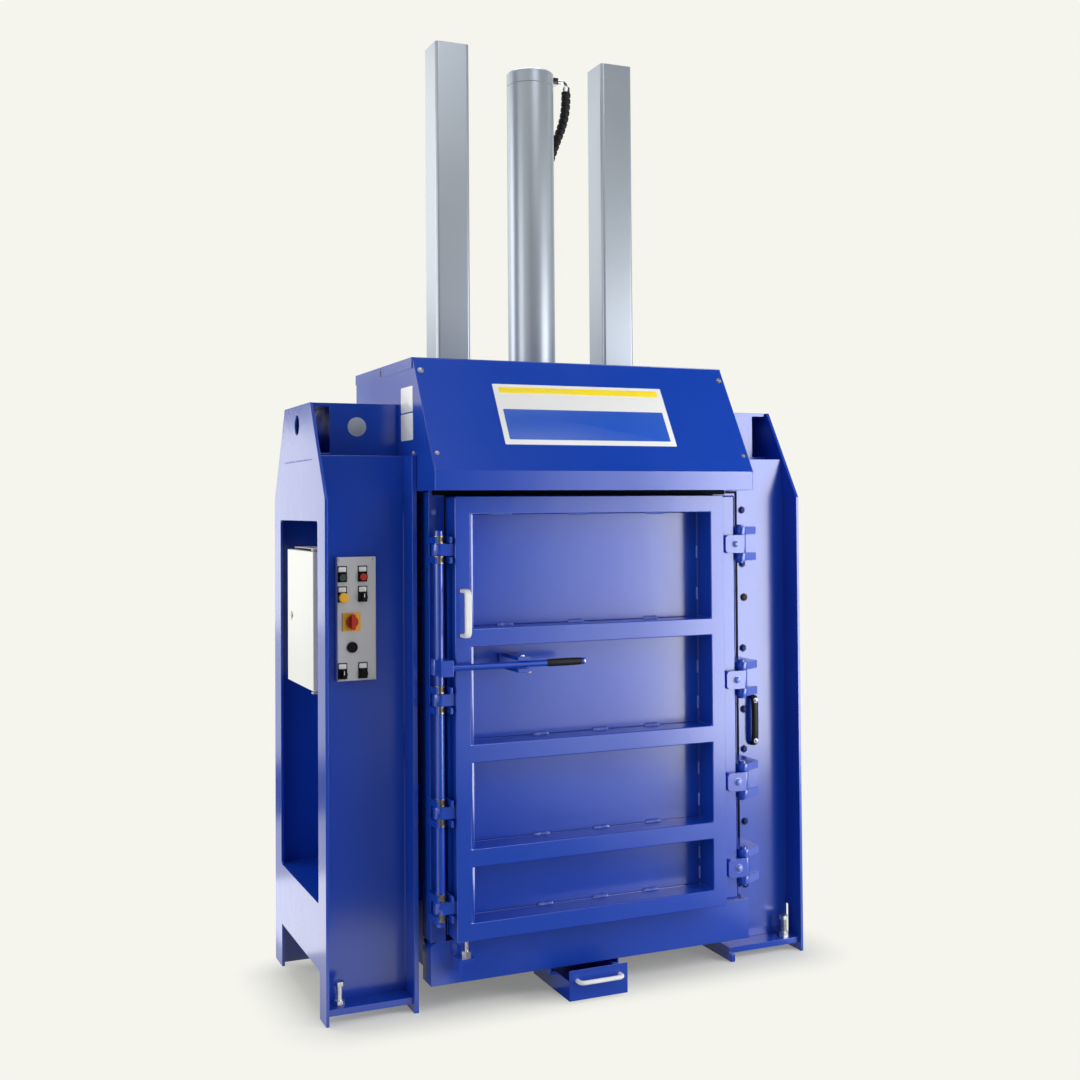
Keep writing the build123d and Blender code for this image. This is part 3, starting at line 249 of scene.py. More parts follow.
def group(name, **kinds):
    """Shader group with an input for every name given and the outputs of a skin: its tree, its inputs, its
    outputs and the piece's own coordinates."""
    tree = bpy.data.node_groups.new(name, "ShaderNodeTree")
    for socket, kind in kinds.items():
        tree.interface.new_socket(socket.replace("_", " "), in_out="INPUT", socket_type=kind)
    for socket, kind in SKIN.items():
        tree.interface.new_socket(socket, in_out="OUTPUT", socket_type=kind)
    given, result = tree.nodes.new("NodeGroupInput").outputs, tree.nodes.new("NodeGroupOutput").inputs
    return tree, given, result, add(tree, "ShaderNodeTexCoord").outputs["Object"]


def make_enamel():
    """Sprayed enamel: broad fading, dust that gathers towards the floor, faint rubbed streaks and specks,
    orange peel on a slow wave."""
    tree, given, result, place = group("enamel", Paint=COLOUR, Faded=COLOUR, Dust=COLOUR, Dust_Amount=NUMBER,
                                       Rub=NUMBER, Gloss=NUMBER)
    height = add(tree, "ShaderNodeSeparateXYZ", {0: place}).outputs["Z"]
    broad = cloud(tree, place, 1.6, 3.0)
    streak = between(tree, cloud(tree, place, 9.0, 4.0, (4, 4, 0.5)), 0.60, 0.78)
    speck = between(tree, cloud(tree, place, 60.0, 2.0), 0.66, 0.74)
    low = between(tree, height, 0.02, 0.42, 1.0, 0.0)
    drift = cloud(tree, place, 14.0, 5.0, (1, 1, 0.4))
    dust = calc(tree, "MULTIPLY", calc(tree, "MULTIPLY", low, drift), given["Dust Amount"])
    rubbed = calc(tree, "MULTIPLY", calc(tree, "MAXIMUM", streak, speck), given["Rub"])
    colour = tint(tree, between(tree, broad, 0.35, 0.70), given["Paint"], given["Faded"])
    colour = tint(tree, rubbed, colour, given["Faded"])
    tree.links.new(tint(tree, dust, colour, given["Dust"]), result["Color"])
    rough = drifting(tree, given["Gloss"], broad, 0.5, 0.12)
    dulled = calc(tree, "MULTIPLY", calc(tree, "ADD", dust, rubbed), 0.25)
    tree.links.new(calc(tree, "ADD", rough, dulled), result["Roughness"])
    peel = cloud(tree, place, 260.0, 1.0)
    wave = cloud(tree, place, 11.0, 1.0)
    tree.links.new(calc(tree, "ADD", peel, calc(tree, "MULTIPLY", wave, 6.0)), result["Height"])
    return tree


def make_grain():
    """Fine moulded grain with slow shade drift, for plastic and rubber."""
    tree, given, result, place = group("moulded_grain", Base=COLOUR, Worn=COLOUR, Scale=NUMBER, Gloss=NUMBER)
    fine = noise(tree, place, given["Scale"])
    slow = cloud(tree, place, 18.0, 3.0)
    tree.links.new(tint(tree, between(tree, slow, 0.5, 0.8), given["Base"], given["Worn"]), result["Color"])
    tree.links.new(drifting(tree, given["Gloss"], slow, 0.5, 0.2), result["Roughness"])
    tree.links.new(fine, result["Height"])
    return tree


def make_drawn():
    """Machined or plated metal: fine lines along one direction and cloudy plating."""
    tree, given, result, place = group("drawn_metal", Base=COLOUR, Dull=COLOUR, Lines=VECTOR, Gloss=NUMBER)
    spot = add(tree, "ShaderNodeMapping", {"Vector": place, "Scale": given["Lines"]}).outputs[0]
    lines = noise(tree, spot, 1.0)
    haze = cloud(tree, place, 40.0, 3.0)
    tree.links.new(tint(tree, between(tree, haze, 0.4, 0.8), given["Base"], given["Dull"]), result["Color"])
    tree.links.new(drifting(tree, given["Gloss"], haze, 0.4, 0.3), result["Roughness"])
    tree.links.new(lines, result["Height"])
    return tree


enamel, moulded_grain, drawn_metal = make_enamel(), make_grain(), make_drawn()


def finish(name, effect, values, bump, distance, **sockets):
    """Material: one Principled shader fed by an effect group, with a bump and with constants on its own
    sockets."""
    material = bpy.data.materials.new(name)
    material.use_nodes = True
    tree = material.node_tree
    shader = tree.nodes["Principled BSDF"]
    skin = add(tree, "ShaderNodeGroup", node_tree=effect)
    for key, value in values.items():
        skin.inputs[key].default_value = value
    tree.links.new(skin.outputs["Color"], shader.inputs["Base Color"])
    tree.links.new(skin.outputs["Roughness"], shader.inputs["Roughness"])
    relief = add(tree, "ShaderNodeBump",
                 {"Strength": bump, "Distance": distance, "Height": skin.outputs["Height"]})
    tree.links.new(relief.outputs[0], shader.inputs["Normal"])
    for key, value in sockets.items():
        shader.inputs[key.replace("_", " ")].default_value = value
    return material


def rgb(red, green, blue):
    """Colour with full alpha."""
    return (red, green, blue, 1.0)


FLOOR_DUST = rgb(0.16, 0.15, 0.14)
ENAMEL_DEPTH, GRAIN_DEPTH, LINES_DEPTH = 0.0006, 0.0004, 0.0003
LINES_BUMP = 0.08


def painted(name, paint, faded, dust=0.0, rub=0.1, gloss=0.34, level=0.5, metallic=0.0, bump=0.10):
    """Enamelled steel in a colour and its faded shade; a metallic share stands for flake in the paint."""
    values = {"Paint": rgb(*paint), "Faded": rgb(*faded), "Dust": FLOOR_DUST, "Dust Amount": dust, "Rub": rub,
              "Gloss": gloss}
    return finish(name, enamel, values, bump, ENAMEL_DEPTH, Specular_IOR_Level=level, Metallic=metallic)


def moulded(name, base, worn, gloss, scale=900.0, bump=0.12, level=0.5):
    """Moulded plastic or rubber."""
    values = {"Base": rgb(*base), "Worn": rgb(*worn), "Scale": scale, "Gloss": gloss}
    return finish(name, moulded_grain, values, bump, GRAIN_DEPTH, Specular_IOR_Level=level)


def metal(name, base, dull, gloss, lines=(900.0, 900.0, 60.0)):
    """Bare or plated metal."""
    values = {"Base": rgb(*base), "Dull": rgb(*dull), "Lines": lines, "Gloss": gloss}
    return finish(name, drawn_metal, values, LINES_BUMP, LINES_DEPTH, Metallic=1.0)


blue = painted("blue_enamel", (0.0035, 0.048, 0.42), (0.0060, 0.053, 0.44), dust=0.06, gloss=0.21, level=1.0)
# A lighter copy of the blue enamel: painted highlight on the weld beads, hinge domes and post screw
painted_highlight_blue = painted("painted_highlight_enamel", (0.10, 0.17, 0.58), (0.14, 0.21, 0.62), rub=0.2, gloss=0.20, level=1.0)
chamber_blue = painted("chamber_enamel", (0.0055, 0.042, 0.34), (0.06, 0.08, 0.24), dust=0.15, rub=0.8,
                       gloss=0.42)
# The grey's roughness stays above 0.28: near 0.27 the denoiser draws thin lines on the tubes
grey = painted("silver_grey_enamel", (0.345, 0.385, 0.445), (0.365, 0.405, 0.465), rub=0.0, gloss=0.32,
               metallic=0.45, bump=0.025)
panel_grey = painted("panel_enamel", (0.50, 0.50, 0.52), (0.54, 0.54, 0.55), gloss=0.40)
white_enamel = painted("white_enamel", (0.78, 0.78, 0.76), (0.82, 0.82, 0.80), gloss=0.35)
zinc = metal("zinc_plate", (0.70, 0.71, 0.72), (0.48, 0.48, 0.49), 0.30)
dull_zinc = metal("dull_zinc", (0.36, 0.37, 0.42), (0.26, 0.27, 0.31), 0.38)
bronze = metal("bush_bronze", (0.46, 0.39, 0.27), (0.30, 0.25, 0.17), 0.32)
chrome = metal("hard_chrome", (0.78, 0.79, 0.80), (0.70, 0.71, 0.73), 0.10, (400.0, 400.0, 900.0))
rubber = moulded("black_rubber", (0.007, 0.007, 0.008), (0.016, 0.015, 0.015), 0.55, level=0.25)
black = moulded("black_plastic", (0.007, 0.007, 0.008), (0.015, 0.015, 0.016), 0.34, level=0.14)
white = moulded("white_plastic", (0.80, 0.81, 0.80), (0.72, 0.73, 0.72), 0.30)
yellow = moulded("yellow_plastic", (0.78, 0.40, 0.02), (0.70, 0.34, 0.02), 0.32)
red = moulded("red_plastic", (0.42, 0.020, 0.014), (0.34, 0.020, 0.014), 0.30)
green = moulded("green_plastic", (0.035, 0.060, 0.048), (0.050, 0.075, 0.060), 0.34)

NODE_FINISH = {
    grey: ["guide_tubes", "cylinder_barrel", "cylinder_cap", "cylinder_head"],
    panel_grey: ["control_box", "cabinet_box"],
    white_enamel: ["cabinet_door"],
    zinc: ["levelling_feet", "cabinet_lock", "door_rest_bolt"],
    bronze: ["lock_bushes"],
    chrome: ["piston_rod", "hose_elbow"],
    rubber: ["hydraulic_hose", "hose_gland", "lever_grip"],
    black: ["switch_collars", "push_lower", "selector_upper", "selector_lower", "web_handle"],
    white: ["door_handle", "drawer_handle"],
    yellow: ["main_switch_plate", "push_lamp"],
    red: ["push_stop", "main_switch_handle"],
    green: ["push_start"],
    chamber_blue: ["chamber_walls", "chamber_floor", "platen"],
}
finish_of = {name: material for material, names in NODE_FINISH.items() for name in names}
for name, piece in nodes.items():
    piece.data.materials.clear()
    piece.data.materials.append(finish_of.get(name, blue))


def soften(name, width, steps=2, clamp=True):
    """Small rounded edges on a CAD node: its triangles are welded, flat ones joined, and sharp edges
    bevelled."""
    piece = nodes[name]
    piece.modifiers.new("weld", "WELD").merge_threshold = WELD_DISTANCE
    flat = piece.modifiers.new("flat", "DECIMATE")
    flat.decimate_type = "DISSOLVE"
    flat.angle_limit = FLAT_LIMIT
    edge = piece.modifiers.new("edge", "BEVEL")
    edge.width = width
    edge.segments = steps
    edge.limit_method = "ANGLE"
    edge.angle_limit = EDGE_LIMIT
    edge.harden_normals = True
    edge.use_clamp_overlap = clamp


PLATE_EDGE, SHEET_EDGE, FRAME_EDGE = 0.0012, 0.0007, 0.0070
for name in ("side_plate_left", "side_plate_right", "inner_wall_left", "inner_wall_right", "front_web_left",
             "front_web_right", "top_beam", "door_sill", "door_surround", "base_plates", "keeper_lugs",
             "lock_blocks", "hinge_knuckles", "hinge_brackets", "lock_clevis", "lever_keeper", "drawer_tray"):
    soften(name, PLATE_EDGE)
for name in ("hood_front", "hood_sides", "hood_roof", "cabinet_box"):
    soften(name, SHEET_EDGE)
soften("door_frame", FRAME_EDGE, 4, clamp=False)


# Hose: the route's points, drawn as a smooth line and wrapped in a spiral guard
HOSE_D = 0.034
hose_route = np.array([
    (0.142, 0.129, 3.084), (0.142, 0.129, 3.0303), (0.138, 0.151, 2.9684), (0.116, 0.184, 2.8903),
    (0.093, 0.217, 2.7899), (0.077, 0.241, 2.6399), (0.067, 0.251, 2.4401), (0.060, 0.252, 2.2404),
    (0.060, 0.252, 2.070)])


def smooth_line(name, points):
    """Points along the order 3 spline that has the route as its control points."""
    line = bpy.data.curves.new(name, "CURVE")
    line.dimensions = "3D"
    line.resolution_u = 24
    spline = line.splines.new("NURBS")
    spline.points.add(len(points) - 1)
    spline.points.foreach_set("co", np.column_stack([points, np.ones(len(points))]).ravel())
    spline.order_u = 3
    spline.use_endpoint_u = True
    holder = bpy.data.objects.new(name, line)
    flat = bpy.data.meshes.new_from_object(holder)
    found = np.empty(len(flat.vertices) * 3)
    flat.vertices.foreach_get("co", found)
    bpy.data.objects.remove(holder)
    bpy.data.meshes.remove(flat)
    return found.reshape(-1, 3)


def evenly(path, count):
    """The same line with its points at equal steps of its length."""
    run = np.concatenate([[0], np.cumsum(np.linalg.norm(np.diff(path, axis=0), axis=1))])
    even = np.linspace(0, run[-1], count)
    return np.column_stack([np.interp(even, run, path[:, k]) for k in range(3)]), run[-1]


def wrapped_hose(path, length, diameter, pitch=0.021, steps=24):
    """Tube cut by a shallow helical groove. The groove lies where the cosine of the angle, less the turns so
    far, is above 0.55, and from there it deepens as the 0.6 power to a fifth of the radius."""
    along = np.linspace(0, length, len(path))[:, None]
    angle = np.linspace(0, 2 * np.pi, steps, endpoint=False)[None]
    phase = np.cos(angle - 2 * np.pi * along / pitch)
    radius = diameter / 2 * (1 - 0.20 * np.clip((phase - 0.55) / 0.45, 0, 1) ** 0.6)
    return swept(path, radius, steps)


hose_line, hose_length = evenly(smooth_line("hose_route", hose_route), 360)
hose = build("spiral_hose", wrapped_hose(hose_line, hose_length, HOSE_D), rubber, "frame")
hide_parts("hydraulic_hose")

# Hood and beam: button bolts, a plain sign, two plain plates on the hood's side, a disc on the beam and a
# black patch of painted shade in the slit of the hood's roof
BOLT = [(0.0, 0.0), (0.0115, 0.0), (0.0115, 0.0016), (0.0082, 0.0018), (0.0082, 0.0030), (0.0070, 0.0054),
        (0.0040, 0.0068), (0.0, 0.0072)]


def on_slope(x, z):
    """Point of the hood's sloped face at a height."""
    return np.array([x, hood_low[1] + (z - hood_fold_z) * HOOD_LEAN / HOOD_RISE, z])


def button(place, outward, size=1.0):
    """Button bolt with its washer, scaled from the full size."""
    return turned(place, outward, np.array(BOLT) * size)


SLOPE_BOLT_X = 0.545
slope_bolts = ((1.742, 0.62), (2.010, 0.9))
hood_bolts = [button(on_slope(side * SLOPE_BOLT_X, z), hood_outward, size)
              for side in (-1, 1) for z, size in slope_bolts]
hood_bolts += [button((side * HOOD_SIDE_X, -0.236, 1.746), side * ACROSS, 0.8) for side in (-1, 1)]
build("hood_bolts", together(hood_bolts), dull_zinc, "frame")

SIGN_W, SIGN_H = 0.612, 0.232
sign_middle = on_slope(-0.006, 1.872)

SHEET_GRAIN = 400.0


def printed(name, base, worn, gloss, bump=0.03):
    """Printed sheet: moulded plastic with a coarser grain."""
    return moulded(name, base, worn, gloss, SHEET_GRAIN, bump)


sign_white = printed("sign_white", (0.80, 0.81, 0.82), (0.785, 0.795, 0.805), 0.34, 0.01)
sign_yellow = printed("sign_yellow", (0.93, 0.72, 0.02), (0.88, 0.66, 0.02), 0.30)
sign_blue = printed("sign_blue", (0.010, 0.085, 0.52), (0.0103, 0.0845, 0.512), 0.36, 0.01)


def sign_field(u, v, width, height, lift):
    """Thin field on the sign at shares of its width and height, lifted off the hood."""
    place = sign_middle + u * SIGN_W * ACROSS + v * SIGN_H * hood_slope + lift * hood_outward
    return plate(place, ACROSS, hood_slope, width * SIGN_W, height * SIGN_H, 0.0006, 0.003, 0.0003)


build("sign_ground", sign_field(0, 0, 1, 1, 0.0), sign_white, "frame")
build("sign_top_band", sign_field(0, 0.40, 0.94, 0.10, 0.0004), sign_yellow, "frame")
build("sign_field", sign_field(0, -0.17, 0.94, 0.50, 0.0004), sign_blue, "frame")

side_labels = [plate((-HOOD_SIDE_X, -0.168, z), FRONT, UP, 0.122, tall, 0.0012, 0.004, 0.0004)
               for z, tall in ((1.922, 0.082), (1.834, 0.086))]
build("hood_side_plates", together(side_labels), sign_white, "frame")
DISC = [(0.0, 0.0), (0.031, 0.0), (0.031, 0.0004), (0.0305, 0.0006), (0.0, 0.0006)]
sticker = turned((-0.703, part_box("top_beam")[0][1], 1.838), FRONT, DISC, 48)
sticker_grey = printed("sticker_grey", (0.36, 0.39, 0.46), (0.30, 0.33, 0.40), 0.35)
build("beam_sticker", sticker, sticker_grey, "frame")
# A thin black plate: painted shade inside the slit
slit = plate((-0.567, 0.116, 2.034), FRONT, UP, 0.012, 0.026, 0.0006, 0.004, 0.0002)
build("roof_slit_shade", slit, black, "frame")

# Hinge side: painted hex screws, a dark line of painted shade in the gap beside the door and a plug on the
# right web, and domes on the hinge leaves. With them a screw on the left post and a dark strip of painted
# shade in the gap over the door
HEX = [(0.0, 0.0), (0.0125, 0.0), (0.0125, 0.0018), (0.0082, 0.0020), (0.0082, 0.0078), (0.0070, 0.0088),
       (0.0, 0.0090)]


def hex_screw(place, size=1.0):
    """Hex screw with its washer that looks forward, scaled from the full size."""
    return turned(place, FRONT, np.array(HEX) * size, steps=30, sides=6)


screw_heights = (1.559, 1.368, 1.068, 0.851, 0.710, 0.454, 0.232)
screws = [hex_screw((0.680, web_y, z)) for z in screw_heights]
# A darker copy of the blue enamel: painted shade on the heads of the web's screws
shaded_screw_blue = painted("shaded_screw_enamel", (0.0030, 0.014, 0.11), (0.0050, 0.018, 0.13), gloss=0.30, level=0.12)
build("web_screws", together(screws), shaded_screw_blue, "frame")
# The post's screw takes the lighter blue of painted highlight
build("post_screw", hex_screw((-0.520, POST_FRONT_Y, 1.561), 0.7), painted_highlight_blue, "frame")
# Dark strips of painted shade: the gap on the door's hinge side and the gap over the door
gap_shades = [plate((0.656, web_y, 0.925), ACROSS, UP, 0.009, 1.40, 0.0012, 0.002, 0.0004),
         plate((0.634, web_y, TOP_GAP_Z), ACROSS, UP, 0.053, 0.009, 0.0010, 0.002, 0.0004)]
gap_shade_dark = moulded("painted_gap_shade", (0.003, 0.004, 0.010), (0.005, 0.006, 0.014), 0.60, level=0.05)
build("web_gap_shade", together(gap_shades), gap_shade_dark, "frame")
header_gap = plate((0.004, POST_FRONT_Y, TOP_GAP_Z), ACROSS, UP, 1.060, 0.019, 0.0020, 0.003, 0.0006)
build("header_gap_shade", header_gap, gap_shade_dark, "frame")
hinge_heights = (0.3432, 0.6345, 0.9807, 1.4437)
leaf_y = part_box("hinge_knuckles")[0][1]
DOME = [(0.0, 0.0), (0.0150, 0.0), (0.0150, 0.0012), (0.0118, 0.0014), (0.0112, 0.0040), (0.0088, 0.0072),
        (0.0050, 0.0090), (0.0, 0.0096)]
leaf_domes = [turned((0.550, leaf_y, z), FRONT, DOME) for z in hinge_heights]
# The domes take the lighter blue of painted highlight
build("hinge_domes", together(leaf_domes), painted_highlight_blue, "door")
PLUG = [(0.0, 0.0), (0.0135, 0.0), (0.0135, 0.0022), (0.0110, 0.0036), (0.0, 0.0042)]
build("web_plug", turned((0.686, web_y, 1.248), FRONT, PLUG), black, "frame")

# Weld beads: stitches where the door's bars and stiles meet its panel, and long seams on the columns. The door
# has four bays, from the top of one bar (a shelf) to the underside of the next
panel_y = door_low[1]
BAR_H, STILE_W = 0.056, 0.050
bar_middles = np.array([0.185, 0.419, 0.680])
bar_lows = door_low[2] + bar_middles * (door_high[2] - door_low[2]) - BAR_H / 2
shelf_heights = np.concatenate([[door_low[2] + BAR_H], bar_lows + BAR_H])
under_heights = np.concatenate([bar_lows, [door_high[2] - BAR_H]])
bays = list(zip(shelf_heights, under_heights))
stile_x = (door_low[0] + STILE_W, door_high[0] - STILE_W)
shelf_stitches = [(-0.143, 0.055, 0.240), (-0.155, 0.060, 0.252), (-0.155, 0.060, 0.252),
                  (-0.276, -0.028, 0.250)]
under_stitches = [(-0.150, 0.060, 0.250), (-0.150, 0.060, 0.250), (-0.262, -0.020, 0.235),
                  (-0.290, -0.015, 0.272)]


def stitches(heights, rows, half, radius):
    """Short weld beads along the corners of bars and panel: a row of centres for every height."""
    y = panel_y - 0.001
    return [bead((x - half, y, z), (x + half, y, z), radius) for z, row in zip(heights, rows) for x in row]


def upright(x, y, low, high, *size):
    """Weld bead that stands upright between two heights."""
    return bead((x, y, low), (x, y, high), *size)


door_beads = stitches(shelf_heights, shelf_stitches, 0.028, 0.0080)
door_beads += stitches(under_heights, under_stitches, 0.040, 0.0050)
for low, high in bays:
    middles = [low + share * (high - low) for share in (0.22, 0.62)]
    door_beads += [upright(x, panel_y, z - 0.022, z + 0.022) for x in stile_x for z in middles]
# The beads take the lighter blue of painted highlight
build("door_beads", together(door_beads), painted_highlight_blue, "door")

LIP_TILT = np.radians(15.0)
lip_across = np.array([np.cos(LIP_TILT), np.sin(LIP_TILT), 0.0])
lip_x, lip_y = stile_x[0] + 0.003, door_front_y + 0.0055
stile_lips = [plate((lip_x, lip_y, (low + high) / 2), lip_across, UP, 0.010, high - low, 0.005, 0.001, 0.0008)
              for low, high in bays]
build("stile_lips", together(stile_lips), blue, "door")

EAVE_Y, EAVE_HALF, EAVE_Z = 0.087, 0.2, 1.731
EAVE_SEAM, THIN_SEAM, BROAD_SEAM = (0.0025, 0.009), (0.0020, 0.007), (0.0035, 0.009)
corner_x = side_x - 0.010
eave_ends = (EAVE_Y - EAVE_HALF, EAVE_Y + EAVE_HALF)
column_beads = [bead(*[(side * side_x, y, EAVE_Z) for y in eave_ends], *EAVE_SEAM) for side in (-1, 1)]
column_beads += [upright(side * corner_x, web_y, 0.05, 1.70, *THIN_SEAM) for side in (-1, 1)]
column_beads += [upright(-0.580, web_y, low, low + 0.7, *THIN_SEAM) for low in (0.08, 0.86)]
build("column_beads", together(column_beads), blue, "frame")
rear_face_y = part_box("rear_plates")[1][1]
rear_beads = [upright(side * corner_x, rear_face_y, low, low + 0.74, *BROAD_SEAM)
              for side in (-1, 1) for low in (0.10, 0.92)]
build("rear_beads", together(rear_beads), blue, "frame")

# Control box: blank labels over the switches, cover screws and the marks of the two selectors. A spot is a
# share of the box's width and one of its height
label_white = printed("label_white", (0.76, 0.76, 0.75), (0.70, 0.70, 0.69), 0.35)
panel_size = panel_high - panel_low
LEFT_COLUMN, RIGHT_COLUMN = 0.13, 0.65
TOP_ROW, UPPER_ROW, BOTTOM_ROW = 0.837, 0.674, 0.056
LABEL_RISE = 0.0245
SMALL_SCREW = [(0, 0), (0.0042, 0), (0.0038, 0.0014), (0, 0.0018)]
collar_spots = [(u, v) for v in (TOP_ROW, UPPER_ROW, BOTTOM_ROW) for u in (LEFT_COLUMN, RIGHT_COLUMN)]


def on_panel(u, v, lift=0.0):
    """Point on the control box's face at shares of its width and height, lifted off it."""
    return np.array([panel_low[0] + u * panel_size[0], panel_low[1] - lift, panel_low[2] + v * panel_size[2]])


labels = [plate(on_panel(u, v, 0.002) + LABEL_RISE * UP, ACROSS, UP, 0.024, 0.015, 0.0005, 0.002, 0.0002)
          for u, v in collar_spots]
build("switch_labels", together(labels), label_white, "frame")
cover_screws = [turned(on_panel(u, v), FRONT, SMALL_SCREW, 16) for u in (0.06, 0.94) for v in (0.02, 0.98)]
build("cover_screws", together(cover_screws), zinc, "frame")
pointer_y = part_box("selector_upper")[0][1]
for name, u, v in (("selector_upper", RIGHT_COLUMN, UPPER_ROW), ("selector_lower", LEFT_COLUMN, BOTTOM_ROW)):
    spot = on_panel(u, v)
    line = plate((spot[0], pointer_y, spot[2] + 0.006), ACROSS, UP, 0.0022, 0.012, 0.0004, 0.0008, 0.0001)
    build(name + "_mark", line, label_white, name)

# Electrical cabinet: the rose of its lock, at a share of the cabinet's width, and the gasket of its door
CABINET_EDGE_Y, CABINET_W, LOCK_SHARE = -0.082, 0.355, 0.83
ROSE = [(0.0, 0.0), (0.0155, 0.0), (0.0155, 0.0002), (0.0140, 0.00028), (0.0, 0.00028)]
cabinet_middle = (cabinet_low + cabinet_high) / 2
lock_y = CABINET_EDGE_Y + LOCK_SHARE * CABINET_W
rose = turned((cabinet_low[0], lock_y, cabinet_middle[2]), -ACROSS, ROSE, 32)
build("lock_rose", rose, bronze, "cabinet_door")
gasket = plate((cabinet_high[0], cabinet_middle[1], cabinet_middle[2]), BACK, UP,
               0.330, 0.410, 0.004, 0.010, 0.0015)
build("cabinet_gasket", gasket, rubber, "cabinet_door")

# Lever grip with finger rings and a bright end, the bolts of the lever's keeper, and the web's bow handle
grip_low, grip_high = (np.array(corner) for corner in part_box("lever_grip"))
grip_axis = (grip_low + grip_high) / 2
GRIP_L = grip_high[0] - grip_low[0]


def ringed_grip():
    """Lathe profile of the grip: a bulged barrel with a cosine of small rings, rounded off at both ends."""
    share = np.linspace(0, 1, 90)
    ends = np.sqrt(np.clip(1 - np.abs(2 * share - 1) ** 14, 0, 1))
    bulge, rings = 0.0010 * np.sin(np.pi * share), 0.00035 * np.cos(2 * np.pi * share * 13)
    profile = np.column_stack([(0.0112 + bulge + rings) * ends, share * GRIP_L])
    return turned((grip_low[0], grip_axis[1], grip_axis[2]), ACROSS, profile, 32)


grip = build("ringed_grip", ringed_grip(), rubber, "lock")
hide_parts("lever_grip")
END = [(0.0, 0.0), (0.0104, 0.0), (0.0104, 0.003), (0.0092, 0.0048), (0.0, 0.0052)]
build("grip_end", turned((grip_high[0], grip_axis[1], grip_axis[2]), ACROSS, END), zinc, "lock")
keeper_low, keeper_high = (np.array(corner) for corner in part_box("lever_keeper"))
keeper_x = (keeper_low[0] + keeper_high[0]) / 2
keeper_y = keeper_low[1] + 0.012
keeper_bolts = [button((keeper_x, keeper_y, keeper_high[2]), UP, 0.7),
                button((keeper_x + 0.021, keeper_y, keeper_low[2]), -UP, 0.7)]
build("keeper_bolts", together(keeper_bolts), zinc, "door")

web_grip_low, web_grip_high = (np.array(corner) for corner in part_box("web_handle"))
WEB_GRIP_X, WEB_GRIP_REACH = 0.714, 0.022
HALF_THICK, HALF_WIDE = 0.0065, 0.0140


def web_bow(low, high, steps=64, around=20):
    """Flat bar along a bow: the path is half a superellipse of power five between its two ends, and the bar's
    section an ellipse 28 mm wide across it and 13 mm thick."""
    turn = np.linspace(0.0, np.pi, steps)
    flat = 2.0 / 5.0
    height = (low + high) / 2 - (high - low) / 2 * np.sign(np.cos(turn)) * np.abs(np.cos(turn)) ** flat
    out = web_y - WEB_GRIP_REACH * np.sin(turn) ** flat
    path = np.column_stack([np.full(steps, WEB_GRIP_X), out, height])
    angle = np.linspace(0, 2 * np.pi, around, endpoint=False)
    section = 1 / np.sqrt((np.cos(angle) / HALF_THICK) ** 2 + (np.sin(angle) / HALF_WIDE) ** 2)
    return swept(path, np.tile(section, (steps, 1)), around)


bow = web_bow(web_grip_low[2] + 0.014, web_grip_high[2] - 0.006)
web_grip = build("web_bow", bow, black, "frame")
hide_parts("web_handle")
web_feet = [button((WEB_GRIP_X, web_y - WEB_GRIP_REACH - 0.005, z), FRONT, 0.75)
            for z in (web_grip_low[2] + 0.026, web_grip_high[2] - 0.018)]
build("web_handle_bolts", together(web_feet), dull_zinc, "frame")

# Floor, surroundings, lamps, cards and camera
PALE = rgb(0.913, 0.913, 0.847)
FLOOR_RADIUS = 60.0
SHADE_HALF = (0.80, 0.24, 0.0)
SHADE_FADE = 0.26


def floor_disc(radius, rings=24, steps=96):
    """Flat disc: rings at growing radius round the origin."""
    reach = np.linspace(0.02, 1, rings) * radius
    r, a = np.meshgrid(reach, np.linspace(0, 2 * np.pi, steps, endpoint=False), indexing="ij")
    points = np.stack([r * np.cos(a), r * np.sin(a), np.zeros_like(r)], -1)
    faces = lattice(rings, steps)
    faces.append(list(range(steps)))
    return points.reshape(-1, 3), faces


def seen_rays(tree):
    """One for a ray that shows a surface to the camera, straight or mirrored, and nought for one that only
    lights."""
    rays = add(tree, "ShaderNodeLightPath")
    seen = calc(tree, "MAXIMUM", rays.outputs["Is Camera Ray"], rays.outputs["Is Glossy Ray"])
    return calc(tree, "MAXIMUM", seen, rays.outputs["Is Transmission Ray"])


def pale_floor():
    """Floor paint: matt near the machine, so that it takes its shadow, fading into the pale surroundings with
    the distance from a rectangle under it. Near the machine too it glows at 0.22 of the pale colour: painted
    light that softens the shadow."""
    material = bpy.data.materials.new("pale_floor")
    material.use_nodes = True
    tree = material.node_tree
    shader = tree.nodes["Principled BSDF"]
    shader.inputs["Roughness"].default_value = 0.9
    shader.inputs["Specular IOR Level"].default_value = 0.0
    place = add(tree, "ShaderNodeTexCoord").outputs["Object"]
    off = vectors(tree, "ABSOLUTE", place)["Vector"]
    off = vectors(tree, "SUBTRACT", off, SHADE_HALF)["Vector"]
    off = vectors(tree, "MAXIMUM", off, (0.0, 0.0, 0.0))["Vector"]
    reach = vectors(tree, "LENGTH", off)["Value"]
    grain = cloud(tree, place, 30.0, 3.0)
    paint = tint(tree, between(tree, grain, 0.3, 0.7), rgb(0.84, 0.84, 0.78), rgb(0.82, 0.82, 0.76))
    tree.links.new(paint, shader.inputs["Base Color"])
    glow = add(tree, "ShaderNodeEmission", {"Color": PALE, "Strength": 1.0})
    seen = seen_rays(tree)
    far = calc(tree, "MULTIPLY", between(tree, reach, 0.0, SHADE_FADE, 0.22, 1.0), seen)
    mixed = add(tree, "ShaderNodeMixShader", {0: far, 1: shader.outputs[0], 2: glow.outputs[0]})
    tree.links.new(mixed.outputs[0], tree.nodes["Material Output"].inputs["Surface"])
    return material


